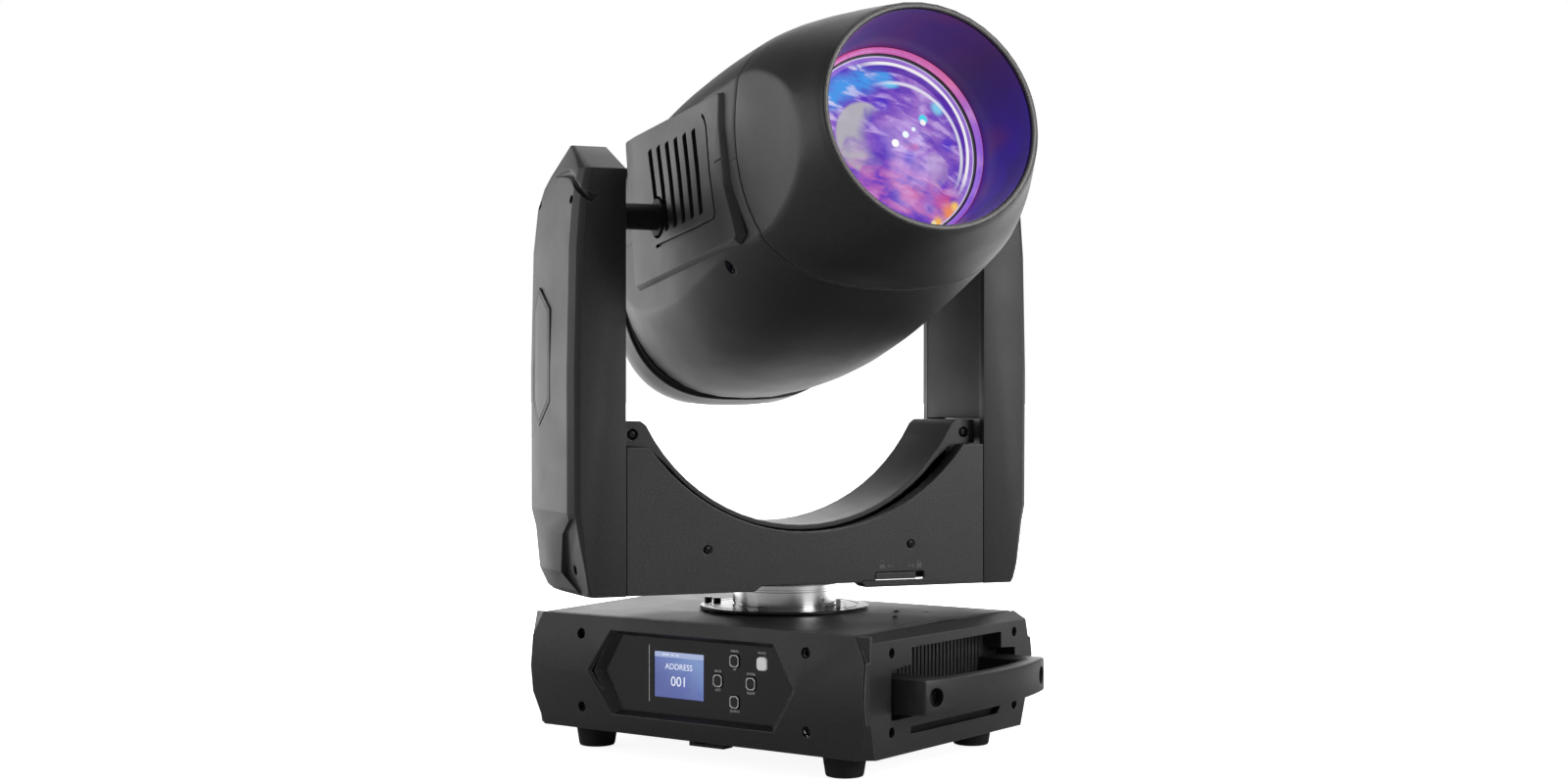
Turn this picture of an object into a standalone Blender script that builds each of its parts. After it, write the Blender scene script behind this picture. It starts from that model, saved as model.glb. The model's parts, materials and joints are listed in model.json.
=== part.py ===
"""Moving head light: a base, a yoke that pans on it and a head that tilts between the yoke's arms.

Lengths in this script are millimetres; a mesh is scaled to metres when it is made. World frame: +Z up,
the base's front faces -Y, the pan axis is x = y = 0, and z = 0 is the face of the mounting plate under
the base. The yoke is modelled in pan_frame, where its own front faces -Y, and the head in tilt_frame,
where the beam leaves along -Y. Both frames are turned to the pose in which the light is stored.
"""

import math

import bmesh
import bpy
from mathutils import Matrix, Vector

MM = 0.001
GAP = 0.3  # clearance between pieces that touch

# Pose and axes
PAN_REST = math.radians(59.03)
TILT_REST = math.radians(11.59)
TILT_Z = 413.1

# Base
BASE_HALF_TOP = 154.0  # half width along the top and bottom edges
BASE_HALF_WIDE = 165.3  # half width over the side covers
BASE_TOP_Z = 96.0  # ridge of the top cover
BASE_EDGE_Z = 93.0  # front edge of the top cover
BASE_FLOOR_Z = 3.0
FRONT_CREASE = (-128.4, 48.5)
FRONT_TOP_Y = -124.0
FRONT_BOTTOM_Y = -122.5
COVER = 3.0  # moulded cover thickness
FOOT_X = 123.5
FOOT_Y = 92.0
FOOT_DROP = 17.4
FASCIA_Y = -116.8
HANDLE_Z = (32.8, 59.6)
HANDLE_REACH = 208.0
HANDLE_RADIUS = 290.0
HANDLE_HALF = 89.5
HANDLE_SCREW_Y = 79.0

# Pan drive
SHAFT_R = 42.5
PAN_GEAR_R = 44.0
MOTOR_PULLEY_R = 9.0
PAN_MOTOR_X = -105.0
PAN_BELT_Z = (126.0, 137.0)

# Yoke
YOKE_HALF_DEPTH = 55.8
YOKE_BOTTOM_Z = 114.5
ARM_INNER_X = 156.2
CHASSIS_HALF_DEPTH = 33.0
LINER_HALF_DEPTH = 39.8
CHASSIS_X = 168.5
SHEET = 2.5
SADDLE_R = 151.5
SADDLE_Z = 317.0
COVER_ARC_R = 170.0
COVER_ARC_Z = 330.5

# Tilt drive
TILT_PULLEY_R = 36.0
TILT_MOTOR_R = 8.0
TILT_MOTOR_Z = 200.0
TILT_BELT_X = (-182.5, -172.0)
TILT_SHAFT_R = 15.0

# Head, along the beam from the tilt axis
RIM_U = 275.0
COWL_U = 182.4
CAP_U = (-112.4, -150.0, -178.0, -190.0)
RIM_R = 85.0
RIM_INNER_R = 80.4
LENS_R = 69.7
HEAD_SIDE_X = 106.0  # half width between the flat sides of the head's shells
COWL_SIDE_X = 103.2  # the same where the front cowl starts
COWL_SLOPE = 0.156  # how fast the cowl's flat sides close in towards the rim
SIDE_BEND_U = 150.0
PANEL_X = 118.0

BLACK = (0.025, 0.025, 0.027)
SATIN = (0.05, 0.05, 0.053)
STEEL = (0.55, 0.56, 0.58)
ZINC = (0.35, 0.36, 0.38)
RUBBER = (0.015, 0.015, 0.015)


# ---------------------------------------------------------------- geometry helpers

def material(name, colour, roughness=0.55, metallic=0.0):
    made = bpy.data.materials.new(name + "_material")
    made.use_nodes = True
    shader = made.node_tree.nodes["Principled BSDF"]
    shader.inputs["Base Color"].default_value = (*colour, 1.0)
    shader.inputs["Roughness"].default_value = roughness
    shader.inputs["Metallic"].default_value = metallic
    return made


def add_object(name, geometry, parent=None, origin=(0, 0, 0)):
    """Makes an object from (points, faces) in millimetres, with its origin moved to origin."""
    points, faces = geometry
    base = Vector(origin)
    mesh = bpy.data.meshes.new(name)
    mesh.from_pydata([(Vector(point) - base) * MM for point in points], [], faces)
    edit = bmesh.new()
    edit.from_mesh(mesh)
    bmesh.ops.recalc_face_normals(edit, faces=edit.faces)
    edit.to_mesh(mesh)
    edit.free()
    made = bpy.data.objects.new(name, mesh)
    bpy.context.scene.collection.objects.link(made)
    made.parent = parent
    made.location = base * MM
    return made


def node(name, geometry, look, parent=None, origin=(0, 0, 0), joins=(), within=(), cuts=(), smooth=True):
    """One visible piece: a closed solid, joined with, kept within and cut by other solids, in that order."""
    made = add_object(name, geometry, parent, origin)
    made.data.materials.append(material(name, *look))
    tools = [(tool, "UNION") for tool in joins]
    tools += [(tool, "INTERSECT") for tool in within]
    tools += [(tool, "DIFFERENCE") for tool in cuts]
    for index, (tool, operation) in enumerate(tools):
        cutter = add_object(f"{name}_tool_{index}", tool, parent, origin)
        cutter.hide_render = True
        cutter.display_type = "WIRE"
        modifier = made.modifiers.new(f"tool_{index}", "BOOLEAN")
        modifier.operation = operation
        modifier.object = cutter
    if smooth:
        made.data.shade_smooth()
        made.data.set_sharp_from_angle(angle=math.radians(32))
    return made


def place(axis, a, b, along):
    """A point from its two outline values and its value along the axis."""
    if axis == "x":
        return (along, a, b)
    if axis == "y":
        return (a, along, b)
    return (a, b, along)


def loft(rings, closed=False):
    """Skins rings of equal length. Open lofts get end caps; closed ones join the last ring to the first."""
    count = len(rings[0])
    points = [point for ring in rings for point in ring]
    faces = []
    steps = len(rings) if closed else len(rings) - 1
    for step in range(steps):
        low = step * count
        high = ((step + 1) % len(rings)) * count
        for index in range(count):
            after = (index + 1) % count
            faces.append((low + index, low + after, high + after, high + index))
    if not closed:
        faces.append(tuple(range(count)))
        faces.append(tuple(range((len(rings) - 1) * count, len(rings) * count)))
    return points, faces


def prism(axis, outline, low, high):
    return loft([[place(axis, a, b, along) for a, b in outline] for along in (low, high)])


def box(x, y, z):
    return prism("z", [(x[0], y[0]), (x[1], y[0]), (x[1], y[1]), (x[0], y[1])], *z)


def circle(radius, count, a=0.0, b=0.0, start=0.0):
    steps = [start + 2 * math.pi * index / count for index in range(count)]
    return [(a + radius * math.cos(step), b + radius * math.sin(step)) for step in steps]


def cylinder(axis, radius, low, high, a=0.0, b=0.0, count=32):
    return prism(axis, circle(radius, count, a, b), low, high)


def ring(axis, profile, a=0.0, b=0.0, count=40):
    """Turns a closed (radius, along) profile that stays off the axis."""
    rings = []
    for index in range(count):
        angle = 2 * math.pi * index / count
        rings.append([place(axis, a + r * math.cos(angle), b + r * math.sin(angle), h) for r, h in profile])
    return loft(rings, closed=True)


def tube(axis, inner, outer, low, high, a=0.0, b=0.0, count=40):
    return ring(axis, [(inner, low), (outer, low), (outer, high), (inner, high)], a, b, count)


def turned(axis, profile, a=0.0, b=0.0, count=40):
    """Turns an open (radius, along) profile into a solid with flat ends."""
    rings = [[place(axis, p, q, h) for p, q in circle(r, count, a, b)] for r, h in profile]
    return loft(rings)


def merged(*parts):
    """Several separate solids as one tool."""
    points = []
    faces = []
    for part_points, part_faces in parts:
        start = len(points)
        points.extend(part_points)
        faces.extend(tuple(start + index for index in face) for face in part_faces)
    return points, faces


def turned_about_z(geometry, angle, centre):
    turn = Matrix.Translation(centre) @ Matrix.Rotation(angle, 4, "Z") @ Matrix.Translation(-Vector(centre))
    return [tuple(turn @ Vector(point)) for point in geometry[0]], geometry[1]


def mirrored_x(geometry):
    return [(-x, y, z) for x, y, z in geometry[0]], [tuple(reversed(face)) for face in geometry[1]]


def arc(radius, centre_b, start, end, count, centre_a=0.0):
    """Points on a circle between two angles in degrees, ends included."""
    steps = [math.radians(start + (end - start) * index / (count - 1)) for index in range(count)]
    return [(centre_a + radius * math.cos(step), centre_b + radius * math.sin(step)) for step in steps]


def sides(geometry):
    """A right-hand piece and its mirror image, as (side name, geometry)."""
    return (("right", geometry), ("left", mirrored_x(geometry)))


# ---------------------------------------------------------------- base

def base_tray():
    tray = box((-140, 140), (-108, 97.5), (BASE_FLOOR_Z, 12))
    hollow = box((-138, 138), (-106, 95.5), (BASE_FLOOR_Z + 2, 20))
    plate = box((-75, 75), (-60, 60), (0, BASE_FLOOR_Z + 1))
    holes = merged(*(cylinder("z", 6, -5, BASE_FLOOR_Z + 8, x, y, 20) for x in (-58, 58) for y in (-42, 42)))
    node("base_tray", tray, (ZINC, 0.45, 0.8), joins=[plate], cuts=[hollow, holes])


def base_covers():
    top_line = [(-119.8, BASE_EDGE_Z + 0.1), (0, BASE_TOP_Z), (103.6, BASE_EDGE_Z + 0.4)]
    under_line = [(y, z - 2.6) for y, z in reversed(top_line)]
    node("base_top_cover", prism("x", top_line + under_line, -BASE_HALF_TOP + 0.4, BASE_HALF_TOP - 0.4),
         (BLACK, 0.5), cuts=[cylinder("z", SHAFT_R + 1.0, 80, 110, count=48)])

    ends = [(0.7, BASE_HALF_TOP), (27, 163.9), (73.2, 163.9), (BASE_EDGE_Z, BASE_HALF_TOP)]
    octagon = [(x, z) for z, x in ends] + [(-x, z) for z, x in reversed(ends)]
    front = [(FRONT_TOP_Y, BASE_EDGE_Z), FRONT_CREASE, (FRONT_BOTTOM_Y, 0.7)]
    back = [(y + COVER, z) for y, z in reversed(front)]
    mouth = [(-84, 12.6), (84, 12.6), (104, 48.5), (84, 84.6), (-84, 84.6), (-104, 48.5)]
    throat = [(x * 0.89, 48.5 + (z - 48.5) * 0.82) for x, z in mouth]
    collar = [(x * 1.03, 48.5 + (z - 48.5) * 1.07) for x, z in mouth]
    collar_back = [(x * 0.925, 48.5 + (z - 48.5) * 0.89) for x, z in mouth]

    def funnel(wide, narrow, front_y, back_y):
        return loft([[(x, front_y, z) for x, z in wide], [(x, back_y, z) for x, z in narrow]])

    node("base_front_cover", prism("x", front + back, -164, 164), (BLACK, 0.5),
         joins=[funnel(collar, collar_back, -123.5, FASCIA_Y - GAP)],
         within=[prism("y", octagon, -150, -90)],
         cuts=[funnel(mouth, throat, -129.5, FASCIA_Y), funnel(throat, throat, -119, -110)])

    rear = [(103.9, BASE_EDGE_Z + 0.4), (110, 88), (125.4, 58), (104.5, 0.7)]
    inner = [(101.5, 0.7), (122.0, 57.6), (107.4, 86.4), (103.9, 90.4)]
    pocket = prism("x", [(98.5, 8.5), (106.3, 8.5), (123.4, 55.5), (98.5, 55.5)], -128, 128)
    pocket_space = box((-125.5, 125.5), (101, 140), (11, 53))
    holes = merged(*(cylinder("y", radius + GAP, 90, 110, x, 32, 32) for x, radius, _ in CONNECTORS))
    node("base_rear_cover", prism("x", rear + inner, -153.6, 153.6), (BLACK, 0.5),
         joins=[pocket], cuts=[pocket_space, holes])


CONNECTORS = ((70, 12.5, "power_inlet"), (-10, 11.5, "data_inlet"))


def connectors():
    for x, radius, name in CONNECTORS:
        profile = [(radius, 82), (radius, 101.3), (radius + 3, 101.3), (radius + 3, 104.5)]
        socket = cylinder("y", radius - 3, 92, 110, x, 32, 32)
        node(name, turned("y", profile, x, 32, 32), (SATIN, 0.4), cuts=[socket])


def side_covers():
    outline = [(-119, 87.4), (-119, 73.4), (-121.5, 72.6), (-121.5, 28.4), (-117.5, 27.6), (-112.6, 0.7),
               (101, 0.7), (110, 25), (119.5, 57), (117.0, 71.4), (113.5, 72.2), (109.4, 86.7)]
    inner = [(y, BASE_EDGE_Z if z > 80 else z) for y, z in outline]
    skin = loft([[(BASE_HALF_TOP, y, z) for y, z in inner], [(BASE_HALF_WIDE, y, z) for y, z in outline]])
    recess = box((144.5, 158), (-95, 95), (24.5, 82.3))
    window = [(-92, 27.5), (92, 27.5), (92, 65.5), (70, 67), (70, 79.8), (-65, 79.8), (-65, 67), (-92, 65.5)]
    window_cut = prism("x", window, 147.3, 175)
    underside = box((150, BASE_HALF_WIDE - COVER), (-108, 98), (3.6, 21.5))
    slot = prism("x", [(-65, 14.5), (64, 14.5), (69, 20.4), (-65, 20.4)], 158, 175)
    fins = merged(*(box((140, 150), (y, y + 2.6), (31, 77)) for y in [-56 + 5.4 * step for step in range(20)]))
    screws = merged(*(cylinder("x", 3.4, BASE_HALF_WIDE - 2.5, 175, y, z, 16)
                      for y in (-90.7, 90.7) for z in (18.7, 77.7)))
    for side, sign in (("right", 1), ("left", -1)):
        tools = [recess, window_cut, underside, slot, fins, screws]
        shape = skin
        if sign < 0:
            shape = mirrored_x(skin)
            tools = [mirrored_x(tool) for tool in tools]
        node(f"side_cover_{side}", shape, (BLACK, 0.5), joins=tools[:1], cuts=tools[1:])


def handles():
    centre_x = HANDLE_REACH - HANDLE_RADIUS
    half = math.degrees(math.asin(HANDLE_HALF / HANDLE_RADIUS))
    grip = HANDLE_RADIUS - 14
    inner_half = math.degrees(math.asin(62 / grip))
    outline = arc(HANDLE_RADIUS, 0, -half, half, 13, centre_x)
    outline += [(147.6, HANDLE_HALF), (147.6, 64)]
    outline += arc(grip, 0, inner_half, -inner_half, 9, centre_x)
    outline += [(147.6, -64), (147.6, -HANDLE_HALF)]
    bar = prism("z", outline, *HANDLE_Z)
    mid_z = sum(HANDLE_Z) / 2
    wells = []
    for sign in (-1, 1):
        angle = math.asin(HANDLE_SCREW_Y / HANDLE_RADIUS)
        x = centre_x + HANDLE_RADIUS * math.cos(angle)
        well = cylinder("x", 7.2, x - 9, x + 9, sign * HANDLE_SCREW_Y, mid_z, 28)
        wells.append(turned_about_z(well, sign * angle, (x, sign * HANDLE_SCREW_Y, mid_z)))
    for side, shape in sides(bar):
        tool = merged(*wells)
        if side == "left":
            tool = mirrored_x(tool)
        made = node(f"handle_{side}", shape, (BLACK, 0.5), cuts=[tool])
        rounding = made.modifiers.new("rounding", "BEVEL")
        rounding.width = 2.0 * MM
        rounding.segments = 2
        rounding.limit_method = "ANGLE"
        rounding.angle_limit = math.radians(50)
        made.modifiers.move(len(made.modifiers) - 1, 0)


BUTTONS = (
    ("menu_button_up", 37.9, 65.5, BLACK),
    ("menu_button_left", 21.7, 49.1, BLACK),
    ("menu_button_right", 53.7, 49.1, BLACK),
    ("menu_button_down", 37.9, 33.8, BLACK),
    ("wake_button", 64.0, 65.1, (0.62, 0.62, 0.62)),
)
DISPLAY_X = (-42.3, 7.3)
DISPLAY_Z = (31.5, 67.8)


def key_outline(x, z, grow=0.0):
    half_x = 4.6 + grow
    half_z = 5.0 + grow
    cut = 1.8
    return [(x - half_x + cut, z - half_z), (x + half_x - cut, z - half_z), (x + half_x, z - half_z + cut),
            (x + half_x, z + half_z - cut), (x + half_x - cut, z + half_z), (x - half_x + cut, z + half_z),
            (x - half_x, z + half_z - cut), (x - half_x, z - half_z + cut)]


def controls():
    plate = [(x, 48.5 + z) for x, z in ((-78, -32), (78, -32), (97, 0), (78, 32), (-78, 32), (-97, 0))]
    window = box(DISPLAY_X, (-125, -110), DISPLAY_Z)
    holes = merged(*(prism("y", key_outline(x, z, 0.4), -125, -110) for _, x, z, _ in BUTTONS))
    node("control_fascia", prism("y", plate, FASCIA_Y, FASCIA_Y + 2), (BLACK, 0.25), cuts=[window, holes])
    screen_x = (DISPLAY_X[0] + GAP, DISPLAY_X[1] - GAP)
    screen_z = (DISPLAY_Z[0] + GAP, DISPLAY_Z[1] - GAP)
    node("display_screen", box(screen_x, (FASCIA_Y + 0.3, FASCIA_Y + 5), screen_z), ((0.2, 0.3, 0.75), 0.2))
    for name, x, z, colour in BUTTONS:
        key = prism("y", key_outline(x, z), FASCIA_Y - 0.9, FASCIA_Y + 4)
        node(name, key, (colour, 0.45), origin=(x, FASCIA_Y, z))


def feet():
    neck = 9.0
    profile = [(neck, BASE_FLOOR_Z - GAP), (neck, 0.4), (17.0, 0.4), (17.0, -3), (14.6, -FOOT_DROP + 1),
               (13.6, -FOOT_DROP)]
    for row, y in (("front", -FOOT_Y), ("rear", FOOT_Y)):
        for side, x in (("left", -FOOT_X), ("right", FOOT_X)):
            node(f"foot_{row}_{side}", turned("z", profile, x, y, 28), (RUBBER, 0.8))


def safety_eye():
    strap = prism("x", [(-104, 2.7), (-104, -6.5), (-92, -6.5), (-92, 2.7)], -17, 17)
    hole = box((-12, 12), (-110, -80), (-4.2, 0.2))
    node("safety_eye", strap, (BLACK, 0.4, 0.6), cuts=[hole])


def base_insides():
    node("power_supply", box((-134, -66), (-70, 80), (5.3, 56)), (STEEL, 0.4, 0.8), smooth=False)
    shaft = [(60, 5.3), (60, 9.3), (SHAFT_R, 9.3), (SHAFT_R, 124.8), (38, 124.8), (38, 141), (26, 141), (26, 5.3)]
    node("pan_shaft", ring("z", shaft, count=48), ((0.75, 0.75, 0.76), 0.22, 1.0))
    plate_z = (BASE_TOP_Z + GAP, BASE_TOP_Z + 2.0)
    node("pan_ring_plate", tube("z", SHAFT_R + GAP, 69.5, *plate_z, count=48), (BLACK, 0.35, 0.3))
    gear = toothed_ring(PAN_GEAR_R, 44, 38.3, *PAN_BELT_Z)
    node("pan_gear", gear, (STEEL, 0.35, 0.9))


def toothed_outline(radius, teeth, a=0.0, b=0.0):
    depth = 0.9
    steps = range(2 * teeth)
    radii = [radius - (depth if step % 2 else 0.0) for step in steps]
    return [(a + r * math.cos(math.pi * step / teeth), b + r * math.sin(math.pi * step / teeth))
            for step, r in zip(steps, radii)]


def toothed_ring(radius, teeth, bore, low, high):
    outer = toothed_outline(radius, teeth)
    inner = circle(bore, len(outer))
    rings = [[(*p, low) for p in outer], [(*p, high) for p in outer],
             [(*p, high) for p in inner], [(*p, low) for p in inner]]
    return loft(rings, closed=True)


# ---------------------------------------------------------------- yoke

def yoke_chassis(frame):
    inside = CHASSIS_X - SHEET
    top = 438.5
    floor = (119, 119 + SHEET)
    outline = [(-CHASSIS_X, floor[0]), (CHASSIS_X, floor[0]), (CHASSIS_X, top), (inside, top),
               (inside, floor[1]), (-inside, floor[1]), (-inside, top), (-CHASSIS_X, top)]
    strap = prism("y", outline, -CHASSIS_HALF_DEPTH, CHASSIS_HALF_DEPTH)
    hub = cylinder("z", 52.6, *floor, count=48)
    cuts = [cylinder("z", 47.8, 100, 140, count=48),
            cylinder("x", 24.0, -180, 180, 0, TILT_Z, 36),
            cylinder("x", 11.0, -180, -150, 0, TILT_MOTOR_Z, 20)]
    node("yoke_chassis", strap, (ZINC, 0.4, 0.9), frame, joins=[hub], cuts=cuts)
    node("pan_bearing", tube("z", SHAFT_R + GAP, 47.5, 116.5, 124, count=48), (STEEL, 0.25, 1.0), frame)
    for side, shape in sides(tube("x", TILT_SHAFT_R + GAP, 23.7, 163.6, 170.6, 0, TILT_Z, 36)):
        node(f"tilt_bearing_{side}", shape, (STEEL, 0.25, 1.0), frame)


def crossbar_outline(inset):
    """The crossbar cover seen from the front, drawn in by inset."""
    side = 155.8 - inset
    low = YOKE_BOTTOM_Z + inset
    shelf = 229.8 - inset
    radius = COVER_ARC_R + inset
    end = math.degrees(math.acos((COVER_ARC_Z - shelf) / radius))
    saddle = arc(radius, COVER_ARC_Z, -90 + end, -90 - end, 25)
    notch = [(-48 - inset, low), (-43 - inset, low + 4), (43 + inset, low + 4), (48 + inset, low)]
    return [(-side, low)] + notch + [(side, low), (side, shelf)] + saddle + [(-side, shelf)]


def crossbar_covers(frame):
    back = -LINER_HALF_DEPTH - 0.7
    shell = prism("y", crossbar_outline(0), -YOKE_HALF_DEPTH, back)
    hollow = prism("y", crossbar_outline(2.8), -YOKE_HALF_DEPTH + 2.8, back + 10)
    hub_space = cylinder("z", 53.0, 100, 128, count=40)
    bolts = merged(*(cylinder("y", 3.6, -70, -YOKE_HALF_DEPTH + 1.6, x, 148.6, 16) for x in (-88.7, 88.7)))
    slot = box((57, 100.5), (-70, -50), (120.0, 126.2))
    node("crossbar_front_cover", shell, (BLACK, 0.5), frame, cuts=[hollow, hub_space, bolts, slot])
    turn = Matrix.Rotation(math.pi, 4, "Z")

    def about(geometry):
        return [tuple(turn @ Vector(point)) for point in geometry[0]], geometry[1]

    rear = [about(hollow), about(hub_space), about(bolts)]
    node("crossbar_rear_cover", about(shell), (BLACK, 0.5), frame, cuts=rear)
    slider = box((57.3, 93.3), (-55.4, -52.4), (120.4, 125.8))
    pin = box((72, 79), (-53.4, -49.5), (121.2, 125.0))
    node("pan_lock_slider", slider, (SATIN, 0.45), frame, origin=(75, -54, 123), joins=[pin])


def saddle_liner(frame):
    end = math.degrees(math.asin(134 / SADDLE_R))
    under = math.degrees(math.asin(118 / (SADDLE_R + 4)))
    ear = [(138.5, 249.8), (155.5, 249.8), (155.5, 230.5), (133, 228.5)]
    outline = arc(SADDLE_R, SADDLE_Z, -90 - end, -90 + end, 25)
    outline += ear
    outline += arc(SADDLE_R + 4, SADDLE_Z, -90 + under, -90 - under, 21)
    outline += [(-x, z) for x, z in reversed(ear)]
    holes = merged(*(cylinder("y", 4.2, -50, -34, x, 239.3, 18) for x in (-145.6, 145.6)))
    back_holes = merged(*(cylinder("y", 4.2, 34, 50, x, 239.3, 18) for x in (-145.6, 145.6)))
    node("saddle_liner", prism("y", outline, -LINER_HALF_DEPTH, LINER_HALF_DEPTH), (BLACK, 0.5), frame, cuts=[holes, back_holes])


# Arm sections from bottom to top: height, front y, back y, shoulder x and outer x.
ARM_SECTIONS = (
    (114.3, -55.8, 44.0, 181.5, 186.0),
    (118.0, -55.8, 50.0, 183.0, 189.0),
    (131.3, -55.8, 55.5, 186.5, 194.0),
    (164.0, -55.8, 55.8, 190.0, 197.2),
    (179.0, -55.8, 55.8, 192.5, 201.0),
    (290.0, -55.8, 55.8, 193.0, 201.2),
    (385.0, -55.8, 55.0, 191.0, 199.4),
    (420.0, -55.8, 51.0, 188.5, 196.8),
    (436.0, -55.8, 42.0, 186.5, 194.0),
    (445.0, -55.8, 32.5, 184.5, 191.5),
    (467.0, -6.5, -3.5, 181.5, 184.0),
)


def arm_ring(section, inset, inner_x):
    z, front, back, shoulder, outer = section
    front += inset
    back -= inset
    outer -= inset
    shoulder -= inset * 0.7
    bevel = min(9.0, (back - front) * 0.2)
    middle = front + (back - front) * 0.72
    return [(inner_x, front, z), (shoulder, front, z), (outer - 1.4, front + bevel, z),
            (outer + 0.7, middle, z), (outer - 0.3, back - 0.5, z), (inner_x, back, z)]


def arm_shells(frame):
    wall = 2.6
    outer = loft([arm_ring(section, 0.0, ARM_INNER_X) for section in ARM_SECTIONS])
    body = [list(section) for section in ARM_SECTIONS]
    body[0][0] += wall
    body[1][0] += wall * 0.6
    body[-1][0] -= wall * 1.1
    body[-2][0] -= wall * 0.9
    body[-1][1] -= wall
    body[-1][2] += wall
    hollow = loft([arm_ring(section, wall, ARM_INNER_X - 8) for section in body])
    for side, shape in sides(outer):
        tool = hollow if side == "right" else mirrored_x(hollow)
        node(f"arm_shell_{side}", shape, (SATIN, 0.5), frame, cuts=[tool])
    panel = [(-52.2, 250.6), (52.2, 250.6), (52.0, 380), (46.5, 416), (37, 430), (26, 438),
             (-5, 455), (-52.2, 436)]
    plate = prism("x", panel, ARM_INNER_X + 0.2, ARM_INNER_X + 2.4)
    hub = cylinder("x", 26, 140, 180, 0, TILT_Z, 36)
    for side, shape in sides(plate):
        tool = hub if side == "right" else mirrored_x(hub)
        node(f"arm_panel_{side}", shape, (BLACK, 0.55), frame, cuts=[tool])


def belt_outline(large, small, distance, grow, count=14):
    """The loop of a belt round a large pulley at the origin and a small one at distance along +a."""
    big = large + grow
    little = small + grow
    lean = math.acos((big - little) / distance)
    far = [(distance + little * math.cos(t), little * math.sin(t))
           for t in [-lean + 2 * lean * step / 7 for step in range(8)]]
    spread = 2 * math.pi - 2 * lean
    near = [(big * math.cos(t), big * math.sin(t))
            for t in [lean + spread * step / (count - 1) for step in range(count)]]
    return far + near


def belt(large, small, distance, low, high, spot):
    """A flat belt as a closed loop. spot turns its own (a, b, along) into a point of the frame."""
    loops = [belt_outline(large, small, distance, grow, 22) for grow in (0.4, 2.0)]
    rings = [[spot(a, b, low) for a, b in loops[0]], [spot(a, b, high) for a, b in loops[0]],
             [spot(a, b, high) for a, b in loops[1]], [spot(a, b, low) for a, b in loops[1]]]
    return loft(rings, closed=True)


def pan_drive(frame):
    body = [(-24, 121.8), (-21.6, 121.8), (-21.6, 142), (21.6, 142), (21.6, 121.8), (24, 121.8), (24, 180), (-24, 180)]
    node("pan_motor", prism("x", body, PAN_MOTOR_X - 21, PAN_MOTOR_X + 21), (SATIN, 0.35, 0.7), frame, smooth=False)
    teeth = prism("z", toothed_outline(MOTOR_PULLEY_R, 9, PAN_MOTOR_X), *PAN_BELT_Z)
    axle = cylinder("z", 4, PAN_BELT_Z[0] - 1, 141.7, PAN_MOTOR_X, 0, 16)
    node("pan_motor_pulley", teeth, (STEEL, 0.3, 0.9), frame, origin=(PAN_MOTOR_X, 0, 131), joins=[axle])
    loop = belt(PAN_GEAR_R, MOTOR_PULLEY_R, -PAN_MOTOR_X, PAN_BELT_Z[0] + 0.5, PAN_BELT_Z[1] - 0.5,
                lambda a, b, along: (-a, b, along))
    node("pan_belt", loop, (RUBBER, 0.8), frame)


def tilt_drive(frame):
    node("tilt_motor", box((-165.7, -128), (-21, 21), (TILT_MOTOR_Z - 21, TILT_MOTOR_Z + 21)),
         (SATIN, 0.35, 0.7), frame, smooth=False)
    teeth = prism("x", toothed_outline(TILT_MOTOR_R, 8, 0, TILT_MOTOR_Z), *TILT_BELT_X)
    axle = cylinder("x", 4, -181, -166.1, 0, TILT_MOTOR_Z, 16)
    node("tilt_motor_pulley", teeth, (STEEL, 0.3, 0.9), frame, origin=(-175, 0, TILT_MOTOR_Z), joins=[axle])
    loop = belt(TILT_PULLEY_R, TILT_MOTOR_R, TILT_Z - TILT_MOTOR_Z, TILT_BELT_X[0] + 0.5, TILT_BELT_X[1] - 0.5,
                lambda a, b, along: (along, b, TILT_Z - a))
    node("tilt_belt", loop, (RUBBER, 0.8), frame)


# ---------------------------------------------------------------- head, as (x, distance u along the beam, v up)

def beam(x, u, v):
    return (x, -u, v)


# Stations of the rear shells: u, half width, top and bottom.
SHELL_STATIONS = (
    (-112.0, 108.0, 113.0, 125.5),
    (-60.0, 114.0, 118.0, 130.5),
    (0.0, 117.0, 119.0, 132.0),
    (60.0, 118.0, 116.0, 127.5),
    (120.0, 118.0, 111.0, 117.5),
    (SIDE_BEND_U, 117.5, 107.6, 111.2),
    (182.0, 116.5, 103.0, 103.5),
)


def side_flat(u):
    """Half width between the head's flattened sides at u."""
    if u > COWL_U:
        return COWL_SIDE_X - COWL_SLOPE * (u - COWL_U)
    taper = (HEAD_SIDE_X - COWL_SIDE_X) / (COWL_U - SIDE_BEND_U)
    return min(HEAD_SIDE_X, COWL_SIDE_X + taper * (COWL_U - u))


def super_point(angle, half, high, low, power, side):
    """A point of a rounded square section whose sides are flattened at side."""
    c = math.cos(angle)
    s = math.sin(angle)
    x = half * math.copysign(abs(c) ** (2 / power), c)
    v = (high if s > 0 else low) * math.copysign(abs(s) ** (2 / power), s)
    return (max(-side, min(side, x)), v)


def section(half, high, low, power, count, side=HEAD_SIDE_X, start=0.0, turn=2 * math.pi):
    closed = abs(turn - 2 * math.pi) < 1e-6
    steps = count if closed else count - 1
    return [super_point(start + turn * index / steps, half, high, low, power, side) for index in range(count)]


def half_shell(upper):
    count = 25
    start = 0.0 if upper else math.pi
    split = 0.15 if upper else -0.15
    rings = []
    for u, half, high, low in SHELL_STATIONS:
        side = side_flat(u)
        outer = section(half, high, low, 2.5, count, side, start, math.pi)
        inner = section(half - COVER, high - COVER, low - COVER, 2.5, count, side - COVER, start, math.pi)
        loop = outer + list(reversed(inner))
        rings.append([beam(x, u, v + split) for x, v in loop])
    return loft(rings)


def grown_shell(grow):
    rings = []
    for u, half, high, low in SHELL_STATIONS:
        loop = section(half + grow, high + grow, low + grow, 2.5, 48, side_flat(u) + grow)
        rings.append([beam(x, u, v) for x, v in loop])
    return loft(rings)


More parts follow.
